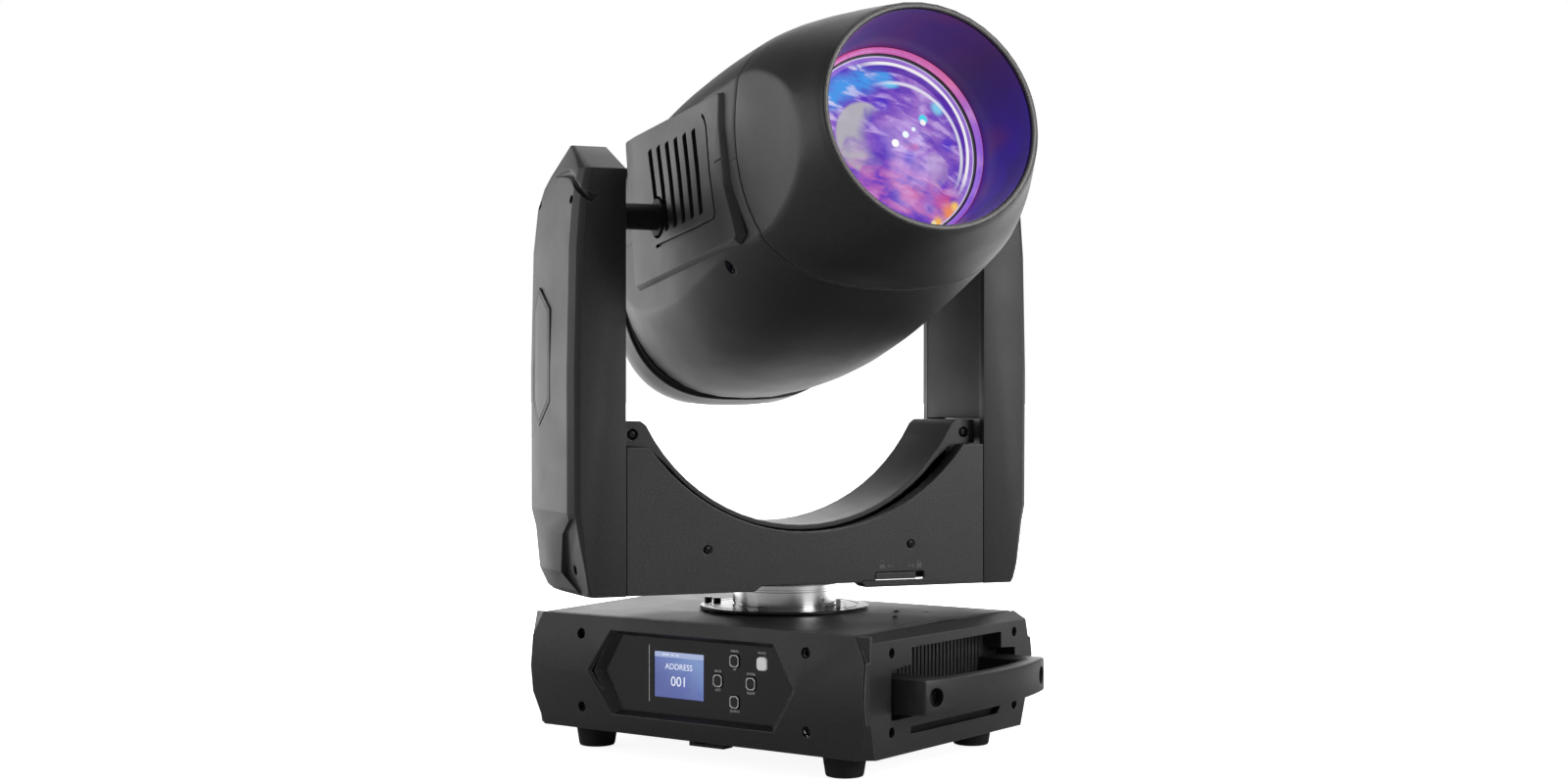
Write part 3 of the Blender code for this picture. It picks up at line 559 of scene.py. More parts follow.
def hood_material():
    """Satin black hood with a glowing painted reflection of the lens's light: violet, bluer low on the
    right, with wine-red flecks.
    """
    hood = LensPaint("hood_painted_lens_glow")
    hood.colour = hood.ramp(hood.step(hood.slant(0.8, -1.0), -80, 110), [
        (0.0, (0.050, 0.014, 0.17)), (0.35, (0.040, 0.011, 0.10)), (0.6, (0.032, 0.008, 0.15)),
        (1.0, (0.026, 0.006, 0.30))])
    fleck = hood.noise(16.0, 2.0, 0.5)
    hood.lay(hood.step(fleck, 0.52, 0.72, 0.5), (0.13, 0.012, 0.10))
    hood.lay(hood.step(fleck, 0.48, 0.32, 0.6), (0.018, 0.006, 0.10))
    # The painted reflection glows.
    return hood.lit(hood.colour, 0.56, 0.22, 0.38)


def retainer_material():
    """The ring round the lens, with a glowing painted reflection of the lens's light: violet at its lower
    right and rosy at its upper left.
    """
    ring = LensPaint("lens_retainer_painted_glow")
    ring.colour = ring.ramp(ring.step(ring.slant(-0.9, 1.0), -95, 75), [
        (0.0, (0.28, 0.13, 0.72)), (0.35, (0.44, 0.15, 0.60)), (0.6, (0.72, 0.17, 0.42)),
        (1.0, (0.62, 0.14, 0.45))])
    ring.lay(ring.step(ring.noise(60.0, 3.0), 0.45, 0.7, 0.35), (0.80, 0.45, 0.75))
    ring.lay(ring.step(ring.far(), 73.4, 74.6, 0.85), (0.62, 0.07, 0.14))
    return ring.lit(ring.colour, 0.8, 0.3, 0.3)


def display_material():
    """Backlit screen: slate blue to violet, a paler header bar, darker towards its lower left."""
    paint = start_paint("backlit_screen")
    spots = paint.add("SeparateXYZ", {0: paint.place})
    across = paint.both(spots["X"], 1000.0)
    height = paint.both(spots["Z"], 1000.0)
    wide = paint.step(paint.maths("ADD", height, paint.both(across, 0.6)), 15, 70)
    colour = paint.ramp(wide, [
        (0.0, (0.13, 0.16, 0.42)), (0.5, (0.17, 0.24, 0.55)), (1.0, (0.26, 0.38, 0.70))])
    mottled = paint.noise(90.0, 3.0)
    colour = paint.blend(paint.step(mottled, 0.45, 0.65, 0.25), colour, (0.10, 0.13, 0.48))
    colour = paint.blend(paint.step(height, 63.4, 63.7, 0.85), colour, (0.50, 0.58, 0.85))
    return paint.lit(colour, 0.75, 0.15, 0.25)


# The last number given to these materials sets how much paler their edges are painted: a painted highlight
# along edges.
SHELL = textured("spark_textured_black", (0.015, 0.015, 0.0153), 0.50, edge_highlight=6.0)
PANEL = textured("vent_panel_black", (0.016, 0.016, 0.0163), 0.48, edge_highlight=4.5)
COVER = textured("moulded_black", (0.015, 0.015, 0.0153), 0.47, edge_highlight=7.0)
INNER = textured("inner_cover_black", (0.013, 0.013, 0.0132), 0.62)
BADGE = textured("badge_satin", (0.017, 0.017, 0.0173), 0.47, 0.06, edge_highlight=5.0)
# The hood's rim is painted a lighter grey than the black round it: a painted highlight for the light it
# catches.
RIM = textured("hood_rim_painted_highlight", (0.11, 0.105, 0.10), 0.42, 0.04)
# A black for painted shade: dark plates and parts set where only shadow shows.
SHADE_BLACK = textured("painted_shade_black", (0.006, 0.006, 0.006), 0.7)
SHEET_STEEL = textured("zinc_sheet", (0.40, 0.41, 0.42), 0.38, 0.05, 3.0, 0.9)
BLACK_STEEL = textured("black_steel", (0.03, 0.03, 0.032), 0.35, 0.05, 1.0, 0.6)
RUBBER = textured("rubber", (0.012, 0.012, 0.012), 0.75, 0.2)
CHROME = brushed("turned_steel", (0.82, 0.82, 0.83), 0.16, (0.15, 0.15, 40.0), 0.12)
BRIGHT = brushed("plated_steel", (0.80, 0.80, 0.80), 0.28, (1.0, 1.0, 1.0), 0.05)
GLOSSY = textured("glossy_fascia", (0.012, 0.012, 0.0125), 0.22, 0.01)
RING_LOOK = textured("glossy_ring", (0.010, 0.010, 0.010), 0.28, 0.02)
SCREW_LOOK = plain("black_screw", grey(0.012), 0.32, 0.7)
PRINT = plain("printed_white", grey(0.80), 0.5)
MARK = plain("moulded_mark", grey(0.075), 0.5)
HIDDEN_STEEL = plain("hidden_steel", grey(0.40), 0.4, 0.9)
HIDDEN_CAST = plain("hidden_cast", grey(0.50), 0.5, 0.9)
HIDDEN_BLACK = plain("hidden_black", grey(0.02), 0.5)
WAKE = plain("wake_key_grey", grey(0.80), 0.45, glow=0.25)
LETTER = plain("screen_lettering", (0.85, 0.88, 1.0), 0.4, glow=0.6)
LENS = lens_material()
HOOD = hood_material()
RETAINER = retainer_material()
SCREEN = display_material()


# ---------------------------------------------------------------- small parts used all over

def screw(name, body, axis, at, facing, radius, slot):
    """A button head screw at (a, b, along), its hexagon socket facing along the axis, + or -."""
    a, b, along = at
    dome = [(radius, 0), (radius, 0.5), (radius * 0.86, 1.25), (radius * 0.55, 1.75), (0.05, 1.9)]
    profile = [(r, along + facing * h) for r, h in dome]
    piece = mesh_object(name, turned(axis, profile, a, b, 28), PLACES[body])
    key_hole = cylinder(axis, radius * 0.5, *sorted((along + facing * 0.9, along + facing * 3)), a, b, 6)
    cut(piece, key_hole, PLACES[body])
    show(piece, body, SCREW_LOOK, slot=slot)


def screws(name, body, axis, spots, along, facing, radius, slot):
    for index, (a, b) in enumerate(spots):
        screw(f"{name}_{index}", body, axis, (a, b, along), facing, radius, slot)


def holes(axis, radius, spots, low, high, count=36):
    return merged(*(cylinder(axis, radius, low, high, a, b, count) for a, b in spots))


# ---------------------------------------------------------------- base

FRONT_SCREWS = [(x, z) for x in (-111.2, 111.2) for z in (18.7, 77.7)]
SIDE_SCREWS = [(y, z) for y in (-90.7, 90.7) for z in (18.7, 77.7)]
FASCIA_Y = -116.8
SCREEN_X = (-42.3, 7.3)
SCREEN_Z = (31.5, 67.8)
FRONT_SCREW_Y = -120.2
SIDE_SCREW_X = 161.0
FIN_WIDTH = 2.6
FIN_Y = (52.0, 57.4, 62.8)
KEY_HALF_X = 4.6
KEY_HALF_Z = 5.0
KEY_CORNER = 1.8
KEYS = (("menu_button_up", 37.9, 65.5), ("menu_button_left", 21.7, 49.1),
        ("menu_button_right", 53.7, 49.1), ("menu_button_down", 37.9, 33.8), ("wake_button", 64.0, 65.1))
LABELS = (("MENU", 37.9, 72.9), ("UP", 37.9, 58.9), ("BACK", 21.7, 56.4), ("LEFT", 21.7, 41.8),
          ("ENTER", 53.7, 56.4), ("RIGHT", 53.7, 41.8), ("DOWN", 37.9, 26.6), ("WAKE", 64.0, 73.3))
STANDOFF = (53, 5)
# Where the front cover's two sloping faces meet, and how far each leans back over its height.
CREASE_Y = -128.4
CREASE_Z = 48.5
UPPER_LEAN = 4.4 / 44.5
LOWER_LEAN = 5.9 / 47.8


def front_cover():
    """The front cover: two faces meeting in a crease, with a hexagonal funnel down to the fascia."""
    piece = copied("front_cover", "base_front_cover")
    cut(piece, holes("y", 4.3, FRONT_SCREWS, -140, -119), BASE)
    show(piece, "base", COVER, "base_front_cover")
    screws("front_cover_screw", "base", "y", FRONT_SCREWS, FRONT_SCREW_Y, -1, 4.0, "base_front_cover")


def key_outline(x, z, grow=0.0):
    """A square with its corners cut off."""
    half_x = KEY_HALF_X + grow
    half_z = KEY_HALF_Z + grow
    inner_x = half_x - KEY_CORNER
    inner_z = half_z - KEY_CORNER
    corners = [(-inner_x, -half_z), (inner_x, -half_z), (half_x, -inner_z), (half_x, inner_z),
               (inner_x, half_z), (-inner_x, half_z), (-half_x, inner_z), (-half_x, -inner_z)]
    return [(x + a, z + b) for a, b in corners]


def keys():
    for name, x, z in KEYS:
        look = WAKE if name == "wake_button" else GLOSSY
        cap = prism("y", key_outline(x, z), FASCIA_Y - 0.9, FASCIA_Y + 4)
        shown(f"{name}_cap", cap, name, look, name, edge=0.4, segments=3)
        if name == "wake_button":
            continue
        rings = [[(a, FASCIA_Y - proud, b) for a, b in key_outline(x, z, grow)]
                 for grow, proud in ((-0.3, 1.0), (-0.3, 0.8), (-1.0, 0.8), (-1.0, 1.0))]
        shown(f"{name}_outline", loft(rings, closed=True), name, PRINT, slot=name)


def lettering(name, words, size, x, z, y, look, slot):
    """Flat printed words, centred on (x, z), a hair in front of the plane at y."""
    curve = bpy.data.curves.new(name, "FONT")
    curve.body = words
    curve.size = size * MM
    curve.align_x = "CENTER"
    curve.align_y = "CENTER"
    curve.extrude = 0.03 * MM
    curve.resolution_u = 3
    text = linked(name, curve)
    graph = bpy.context.evaluated_depsgraph_get()
    mesh = bpy.data.meshes.new_from_object(text.evaluated_get(graph))
    bpy.data.objects.remove(text)
    mesh.transform(Matrix.Translation((x * MM, y * MM, z * MM)) @ Matrix.Rotation(math.radians(90), 4, "X"))
    show(linked(name, mesh), "base", look, slot=slot)


def control_panel():
    refined("fascia_fine", "control_fascia", "base", GLOSSY, edge=0.25)
    glass = box((SCREEN_X[0] + 0.3, SCREEN_X[1] - 0.3), (FASCIA_Y + 0.3, FASCIA_Y + 5),
                (SCREEN_Z[0] + 0.3, SCREEN_Z[1] - 0.3))
    shown("screen_glass", glass, "base", SCREEN, "display_screen", edge=0.2)
    middle = sum(SCREEN_X) / 2
    for name, words, size, x, z in (("screen_word", "ADDRESS", 6.6, middle, 56.3),
                                    ("screen_number", "001", 11.0, middle, 44.6),
                                    ("screen_header", "MODE   CH   001", 2.3, middle - 8, 65.5)):
        lettering(name, words, size, x, z, FASCIA_Y + 0.25, LETTER, "display_screen")
    plate = FASCIA_Y - 0.04
    for words, x, z in LABELS:
        lettering(f"label_{words.lower()}", words, 2.7, x, z, plate, PRINT, "control_fascia")
    line = box((-47.6, -47.0), (plate - 0.03, plate + 0.03), (27.5, 72.5))
    shown("fascia_line", line, "base", PRINT, slot="control_fascia")
    keys()


def base_covers():
    front_cover()
    top = copied("top_cover", "base_top_cover")
    cut(top, holes("z", 2.6, [(96, 18), (112, 40)], 92.9, 110, 24), BASE)
    show(top, "base", COVER, "base_top_cover", edge=0.5)
    refined("rear_cover", "base_rear_cover", "base", COVER, edge=0.8)
    screws("top_cover_screw", "base", "z", [(118, -14), (96, 22)], 95.0, 1, 2.6, "base_top_cover")
    standoff = mesh_object("hex_standoff", cylinder("z", 4.2, 98.0, 104.6, *STANDOFF, 6))
    cut(standoff, cylinder("z", 1.9, 100, 110, *STANDOFF, 20), BASE)
    show(standoff, "base", BRIGHT, edge=0.4, slot="base_top_cover")
    for index, (x, y) in enumerate(((-63, -21), (-52.5, -22.5))):
        pin = turned("z", [(3.2, 97.8), (3.2, 101.5), (2.8, 102.1), (1.0, 102.3)], x, y, 24)
        shown(f"stop_pin_{index}", pin, "base", SCREW_LOOK, slot="base_top_cover")


def front_face(z):
    """Where the front cover's sloping faces lie at a height."""
    above = z - CREASE_Z
    return CREASE_Y + (UPPER_LEAN * above if above > 0 else -LOWER_LEAN * above)


def corner_return(side, turn):
    """The part of a side cover that turns the front corner and meets the ends of the front cover."""
    sections = []
    for z, end, edge in ((0.9, 154.0, -113.5), (27.0, 163.9, -118.4), (28.4, 163.9, -121.9),
                         (CREASE_Z, 163.9, -121.9), (72.6, 163.9, -121.9), (73.4, 163.9, -119.4),
                         (92.4, 154.3, -119.4)):
        sections.append([(165.2, edge + 2.5, z), (165.2, edge, z), (end + 0.4, front_face(z) + 0.9, z),
                         (end + 0.4, edge + 2.5, z)])
    shown(f"corner_return_{side}", turn(loft(sections)), "base", COVER, sharp=12, slot=f"side_cover_{side}")


def side_covers():
    sided(corner_return)
    for side, sign in SIDES:
        node = f"side_cover_{side}"
        cover = copied(f"{node}_fine", node)
        cut(cover, holes("x", 4.1, SIDE_SCREWS, *sorted((sign * 160.6, sign * 176))), BASE)
        depth = sorted((sign * 140, sign * 150))
        cut(cover, merged(*(box(depth, (y, y + FIN_WIDTH), (31, 77)) for y in FIN_Y)), BASE)
        show(cover, "base", COVER, node)
        # A dark plate inside the side cover: painted shade standing for the shadowed inside seen through
        # its openings.
        shade_plate = box(sorted((sign * 156, sign * 157.8)), (-106, 96), (3.8, 22.5))
        shown(f"side_shade_plate_{side}", shade_plate, "base", SHADE_BLACK, slot=node)
        refined(f"carrying_handle_{side}", f"handle_{side}", "base", SHELL, sharp=40)
        screws(f"side_screw_{side}", "base", "x", SIDE_SCREWS, sign * SIDE_SCREW_X, sign, 3.8, node)


def feet():
    profile = [(9.0, 2.7), (9.0, 0.4), (16.4, 0.4), (17.0, 0.0), (17.0, -3), (16.6, -3.6), (14.7, -15.6),
               (14.0, -17.0), (12.8, -17.4), (6.0, -17.4), (5.6, -16.0), (0.4, -16.0)]
    for row, back in FACES:
        for side, sign in SIDES:
            foot = turned("z", profile, sign * 123.5, back * 92, 64)
            shown(f"rubber_foot_{row}_{side}", foot, "base", RUBBER, f"foot_{row}_{side}")


def metal_parts():
    """The safety eye, the connectors and everything inside keep their shapes and take finer finishes."""
    looks = ((SHEET_STEEL, ("base_tray",)),
             (BLACK_STEEL, ("safety_eye",)),
             (COVER, ("power_inlet", "data_inlet")),
             (HIDDEN_STEEL, ("power_supply", "yoke_chassis", "pan_bearing", "tilt_bearing_left",
                             "tilt_bearing_right", "head_chassis")),
             (HIDDEN_CAST, ("pan_gear", "pan_motor_pulley", "tilt_motor_pulley", "lamp_engine",
                            "colour_wheel", "gobo_wheel")),
             (HIDDEN_BLACK, ("pan_motor", "tilt_motor", "pan_belt", "tilt_belt", "fan_rotor",
                             "zoom_carriage", "focus_carriage")))
    for look, nodes in looks:
        for node in nodes:
            mesh = frame["nodes"][node].data
            mesh.materials.clear()
            mesh.materials.append(look)


def base():
    base_covers()
    side_covers()
    control_panel()
    feet()
    metal_parts()


# ---------------------------------------------------------------- yoke

# Arm sections: height, front y, back y, shoulder x, outer x.
ARM_SECTIONS = (
    (114.3, -55.8, 44.0, 181.5, 186.0),
    (118.0, -55.8, 50.0, 183.0, 189.0),
    (131.3, -55.8, 55.5, 186.5, 194.0),
    (164.0, -55.8, 55.8, 190.0, 197.2),
    (179.0, -55.8, 55.8, 192.5, 201.0),
    (290.0, -55.8, 55.8, 193.0, 201.2),
    (385.0, -55.8, 55.0, 191.0, 199.4),
    (420.0, -55.8, 51.0, 188.5, 196.8),
    (436.0, -55.8, 42.0, 186.5, 194.0),
    (445.0, -55.8, 32.5, 184.5, 191.5),
    (467.0, -6.5, -3.5, 181.5, 184.0),
)
ARM_INNER_X = 156.2
ARM_CREASE_Y = 24.6
BADGE_Z = 301.5
GROOVE_STEPS = 40
MARK_Y = (-56.1, -55.5)


def arm_ring(section):
    z, front, back, shoulder, outer = section
    share = min(1.0, (back - front) / 80)
    crease = front + (back - front) * 0.72
    middle = shoulder + (outer - shoulder) * 0.5
    return [(ARM_INNER_X, front, z), (shoulder, front, z), (middle, front + 3.6 * share, z),
            (outer - 0.9, front + 12.0 * share, z), (outer + 0.7, crease, z),
            (outer - 0.6, back - 3.6 * share, z), (outer - 4.0, back, z), (ARM_INNER_X, back, z)]


def arm_hollow():
    sections = ((121, -44, 44, 178), (180, -48, 48, 187), (290, -48, 48, 195), (385, -48, 48, 193),
                (425, -45, 40, 189), (440, -45, 34, 183), (452, -32, 20, 177))
    return loft([[(140, front, z), (outer, front, z), (outer, back, z), (140, back, z)]
                 for z, front, back, outer in sections])


def arm_scoop():
    """The S-shaped groove that runs round the outer top corner of an arm, thinning out at its ends."""
    path = [(192.6, 8, 443.0), (192.3, -8, 443.6), (192.4, -24, 442.6), (192.6, -36, 438),
            (191.0, -46.5, 430), (187.5, -54, 423.5), (182.5, -56, 422.0), (177, -56.4, 428)]
    last = GROOVE_STEPS - 1
    radii = [0.5 + 2.7 * min(1.0, step / 9, (last - step) / 8) for step in range(GROOVE_STEPS)]
    return rod(curve_points(path, GROOVE_STEPS), radii, 16)


def arm_pocket():
    """The sunk corner low on an arm's front edge."""
    outline = [(-62, 180.2), (-52, 176.5), (-43, 173), (-21, 162), (-8, 131), (-32, 118), (-36, 108),
               (-62, 108)]
    floor = [(185.6 + 0.177 * (z - 117), y, z) for y, z in outline]
    return loft([floor, [(225, y, z) for y, z in outline]])


def badge_outline(grow):
    ends = grow * 1.3
    sides = grow * 0.4
    return [(ARM_CREASE_Y, 246 - ends), (-2 - grow, 265 - sides), (-2 - grow, 338 + sides),
            (ARM_CREASE_Y, 356 + ends), (43 + grow, 338 + sides), (43 + grow, 265 - sides)]


def badge_x(y, proud):
    """How far out the arm's creased side lies."""
    lean = 0.031 if y < ARM_CREASE_Y else 0.075
    return 201.9 - lean * abs(y - ARM_CREASE_Y) + proud


def badge_solid(grow, low, proud):
    """A plate that follows the arm's creased side; its two faces meet along the crease."""
    points = [(badge_x(y, out), y, z) for out in (proud, low) for y, z in badge_outline(grow)]
    faces = [(0, 1, 2, 3), (3, 4, 5, 0), (6, 7, 8, 9), (9, 10, 11, 6)]
    faces += [(index, (index + 1) % 6, 6 + (index + 1) % 6, 6 + index) for index in range(6)]
    return points, faces


def badge_groove(start, end):
    """A groove along a line of the badge; its floor is 0.5 mm below the creased face."""
    points, faces = prism("x", strip([start, end], 0.7), 200.0, 206)
    return [(badge_x(y, 0.05) if x < 203 else x, y, z) for x, y, z in points], faces


def arm(side, turn):
    node = f"arm_shell_{side}"
    sign = 1 if side == "right" else -1
    piece = mesh_object(f"{node}_fine", turn(loft([arm_ring(section) for section in ARM_SECTIONS])), YOKE)
    cut(piece, turn(arm_pocket()), YOKE)
    bevelled(piece, 1.3, 3, 14)
    spots = [(-41, 421), (42, 423)]
    wells = merged(holes("x", 3.5, spots, 190.4, 210), holes("x", 4.2, [(-29, 134)], 184.6, 210))
    for tool in (wells, badge_solid(0.7, -1.6, 6.0), arm_scoop(), arm_hollow()):
        cut(piece, turn(tool), YOKE)
    show(piece, "yoke", SHELL, node, sharp=25)
    screws(f"arm_screw_{side}", "yoke", "x", spots, sign * 190.6, sign, 2.9, node)
    screw(f"arm_pocket_screw_{side}", "yoke", "x", (-29, 134, sign * 185.4), sign, 3.2, node)
    badge = mesh_object(f"arm_badge_{side}", turn(badge_solid(0.0, -1.4, 0.45)), YOKE)
    bevelled(badge, 0.6, 3, 40)
    rim = [(y + (ARM_CREASE_Y - y) * 0.16, z + (BADGE_Z - z) * 0.055) for y, z in badge_outline(0)]
    for start, end in zip(rim, rim[1:] + rim[:1]):
        cut(badge, turn(badge_groove(start, end)), YOKE)
    show(badge, "yoke", BADGE, slot=node)


def crossbar():
    for face, sign in FACES:
        node = f"crossbar_{face}_cover"
        refined(f"{node}_fine", node, "yoke", COVER, edge=0.9, segments=3)
        spots = [(-88.7, 148.6), (88.7, 148.6)]
        screws(f"crossbar_{face}_screw", "yoke", "y", spots, sign * 54.4, sign, 3.1, node)
    refined("saddle_liner_fine", "saddle_liner", "yoke", COVER, edge=0.8, segments=3)
    for face, sign in FACES:
        spots = [(-145.6, 239.3), (145.6, 239.3)]
        screws(f"liner_{face}_screw", "yoke", "y", spots, sign * 37.4, sign, 3.4, "saddle_liner")
    refined("pan_lock_slider_fine", "pan_lock_slider", "pan_lock_slider", COVER, edge=0.3)


def lock_marks():
    """Raised marks over the pan lock: an open and a closed padlock with an arrow for each."""
    outlines = []
    for x, sign, lift in ((62.5, -1, 0.9), (96.0, 1, 0.0)):
        left, right = x - 2.4, x + 2.4
        outlines.append(rounded([(left, 129.2), (right, 129.2), (right, 132.8), (left, 132.8)], 0.5, 2))
        turns = [math.pi * step / 8 for step in range(9)]
        loop = [(x + 1.5 * math.cos(angle), 132.8 + lift + 2.0 * math.sin(angle)) for angle in turns]
        outlines.append(strip(loop, 0.7))
        tip = x - sign * 4.0
        outlines.append(strip([(tip - sign * 7.0, 131), (tip - sign * 2, 131)], 0.8))
        outlines.append([(tip, 131), (tip - sign * 2.4, 132.5), (tip - sign * 2.4, 129.5)])
    marks = merged(*(prism("y", outline, *MARK_Y) for outline in outlines))
    shown("pan_lock_marks", marks, "yoke", MARK, slot="crossbar_front_cover")


def pan_neck():
    """The turned shaft with its grooves, and the glossy ring round it."""
    shaft = [(60, 5.3), (60, 9.3), (42.5, 9.3), (42.5, 99.0), (41.9, 99.3), (41.9, 100.6), (42.5, 100.9),
             (42.5, 110.6), (41.7, 111.0), (41.7, 112.4), (42.5, 112.8), (42.5, 124.8), (38, 124.8),
             (38, 141), (26, 141), (26, 5.3)]
    ring = [(42.9, 96.3), (69.5, 96.3), (69.5, 97.3), (68.8, 98.0), (62.0, 98.0), (61.6, 97.6),
            (60.4, 97.6), (60.0, 98.0), (46.0, 98.0), (42.9, 97.7)]
    for name, profile, look, node in (("pan_shaft_fine", shaft, CHROME, "pan_shaft"),
                                      ("pan_ring_fine", ring, RING_LOOK, "pan_ring_plate")):
        shown(name, turned("z", profile, count=ROUND, closed=True), "base", look, node, sharp=20)


def yoke():
    sided(arm)
    for side, _ in SIDES:
        refined(f"arm_panel_{side}_fine", f"arm_panel_{side}", "yoke", INNER, edge=0.5)
    crossbar()
    lock_marks()
    pan_neck()


# ---------------------------------------------------------------- head, as (x, u along the beam, v up)

# Stations of the head's skin: u, half width, top, bottom and squareness.
SKIN = (
    (-112.0, 108.0, 113.0, 125.5, 2.5),
    (-60.0, 114.0, 118.0, 130.5, 2.5),
    (0.0, 117.0, 119.0, 132.0, 2.5),
    (60.0, 118.0, 116.0, 127.5, 2.5),
    (120.0, 118.0, 111.0, 117.5, 2.5),
    (182.4, 116.5, 103.2, 103.7, 2.5),
    (205.0, 113.0, 100.2, 100.8, 2.4),
    (232.0, 104.0, 95.2, 95.6, 2.25),
    (256.0, 93.5, 89.8, 90.0, 2.1),
    (275.0, 85.0, 85.0, 85.0, 2.0),
)
COWL_U = 182.4
SHELL_WALL = 3.5
PANEL_X = 110.5
CAP_POWER = 2.9
CAP_COUNT = 96


def beam(x, u, v):
    return (x, -u, v)


def between(table, at):
    """Values of a table's other columns at a value of its first, on a smooth curve through its rows."""
    row = max(0, min(len(table) - 2, sum(entry[0] <= at for entry in table) - 1))
    low, high = table[row], table[row + 1]
    before = table[max(row - 1, 0)]
    after = table[min(row + 2, len(table) - 1)]
    span = high[0] - low[0]
    t = (at - low[0]) / span
    made = []
    for a, b, c, d in zip(before[1:], low[1:], high[1:], after[1:]):
        left = (c - a) / (high[0] - before[0]) * span
        right = (d - b) / (after[0] - low[0]) * span
        made.append((2 * t ** 3 - 3 * t ** 2 + 1) * b + (t ** 3 - 2 * t ** 2 + t) * left
                    + (3 * t ** 2 - 2 * t ** 3) * c + (t ** 3 - t ** 2) * right)
    return made


def smooth_step(value, low, high):
    t = max(0.0, min(1.0, (value - low) / (high - low)))
    return t * t * (3 - 2 * t)


def side_flat(u, v):
    """Half width between the flat sides of the head, which lean and close in on the cowl."""
    lean = 0.043 * v * smooth_step(u, 120, 175)
    if u > COWL_U:
        return 103.2 + lean - 0.130 * (u - COWL_U)
    return min(106.0, 103.2 + 0.087 * (COWL_U - u)) + lean


def quarter_angles(u):
    """Angles from the side to the top, crowded at the crease between the flat side and the round."""
    half, _, _, power = between(SKIN, u)
    ratio = min(0.995, side_flat(u, 0) / half)
    crease = max(math.radians(12), math.acos(ratio ** (power / 2)))
    rest = math.pi / 2 - crease
    flat = (0, 0.16, 0.32, 0.48, 0.63, 0.77, 0.87, 0.94, 0.98)
    round_over = (0, 0.02, 0.05, 0.1, 0.17, 0.25, 0.34, 0.44, 0.55, 0.66, 0.77, 0.89)
    return [crease * share for share in flat] + [crease + rest * share for share in round_over]


def skin_angles(u):
    quarter = quarter_angles(u)
    upper = quarter + [math.pi / 2] + [math.pi - angle for angle in reversed(quarter)]
    return upper, [angle + math.pi for angle in upper]


def squared(angle, power):
    """The cosine and sine of a rounded square's outline."""
    return [math.copysign(abs(part) ** (2 / power), part) for part in (math.cos(angle), math.sin(angle))]


def skin_point(u, angle, inset=0.0):
    half, high, low, power = between(SKIN, u)
    c, s = squared(angle, power)
    x = (half - inset) * abs(c)
    v = ((high if s > 0 else low) - inset) * s
    side = side_flat(u, v) - inset
    soft = 0.8
    near = max(soft - abs(x - side), 0.0) / soft
    x = min(x, side) - near * near * soft / 4
    return math.copysign(x, c), v


def bowed(u, angle, share, inset=0.0):
    """A point of the skin, its station drawn back along the flat sides, where the cowl's joint bows."""
    _, v = skin_point(u, angle)
    back = 22.0 * max(0.0, 1 - (v / 62.0) ** 2) * share
    x, v = skin_point(u - back, angle, inset)
    return x, u - back, v


def skin_ring(u, angles, share, inset=0.0, lift=0.0):
    made = []
    for angle in angles:
        x, along, v = bowed(u, angle, share, inset)
        made.append(beam(x, along, v + lift))
    return made


def head_shell(upper):
    lift = 0.15 if upper else -0.15
    stops = [(-112.0, 0.8), (-111.2, 0.1), (-109.5, 0.0)]
    stops += [(-100.0 + 11.5 * step, 0.0) for step in range(25)]
    stops += [(181.0, 0.05), (181.8, 0.45), (182.0, 1.1)]
    rings = []
    for u, inset in stops:
        own = skin_angles(u)[0 if upper else 1]
        share = smooth_step(u, 40, COWL_U)
        outer = skin_ring(u, own, share, inset, lift)
        inner = skin_ring(u, own, share, SHELL_WALL, lift)
        rings.append(outer + list(reversed(inner)))
    return loft(rings)


def head_shells():
    shaft = cylinder("x", 16, -150, 150, 0, 0, 48)
    wells = merged(*(cylinder("x", 5.4, *span, -123, -73.5, 40) for span in ((-125, -97.6), (97.6, 125))))
    for half, upper in (("upper", True), ("lower", False)):
        piece = mesh_object(f"head_{half}_shell_fine", head_shell(upper), HEAD)
        cut(piece, shaft, HEAD)
        if not upper:
            cut(piece, wells, HEAD)
        show(piece, "head", SHELL, f"head_{half}_shell", sharp=32)
    for side, sign in reversed(SIDES):
        spot = (-123, -73.5, sign * 97.9)
        screw(f"head_shell_screw_{side}", "head", "x", spot, sign, 3.9, "head_lower_shell")


def cowl():
    stops = [(182.9, 1.1), (183.1, 0.45), (183.9, 0.05)]
    stops += [(185.5 + 5.4 * step, 0.0) for step in range(17)]
    rings = []
    for u, inset in stops:
        above, below = skin_angles(u)
        share = 1 - smooth_step(u, COWL_U, 258)
        rings.append(skin_ring(u, above[:-1] + below[:-1], share, inset))
    angles = [math.atan2(v, x) for x, _, v in rings[-1]]
    rim = [(85.0, 273.6), (84.85, 274.35), (84.4, 274.8), (83.9, 275.0), (81.3, 275.0), (80.8, 274.8),
           (80.5, 274.3), (80.4, 273.5)]
    wall = [(80.05, 270), (78.6, 252), (78.1, 251.4), (76.9, 234), (76.4, 233.4), (75.3, 219),
            (74.9, 210.5), (74.9, 205.6), (70.4, 205.6), (70.4, 196), (80, 196)]
    for radius, u in rim + wall:
        rings.append([beam(radius * math.cos(angle), u, radius * math.sin(angle)) for angle in angles])
    above, below = skin_angles(183.5)
    rings.append(skin_ring(183.5, above[:-1] + below[:-1], 1.0, 5.0))
    shown("front_cowl_fine", loft(rings, closed=True), "head", SHELL, "head_front_cowl", sharp=32)


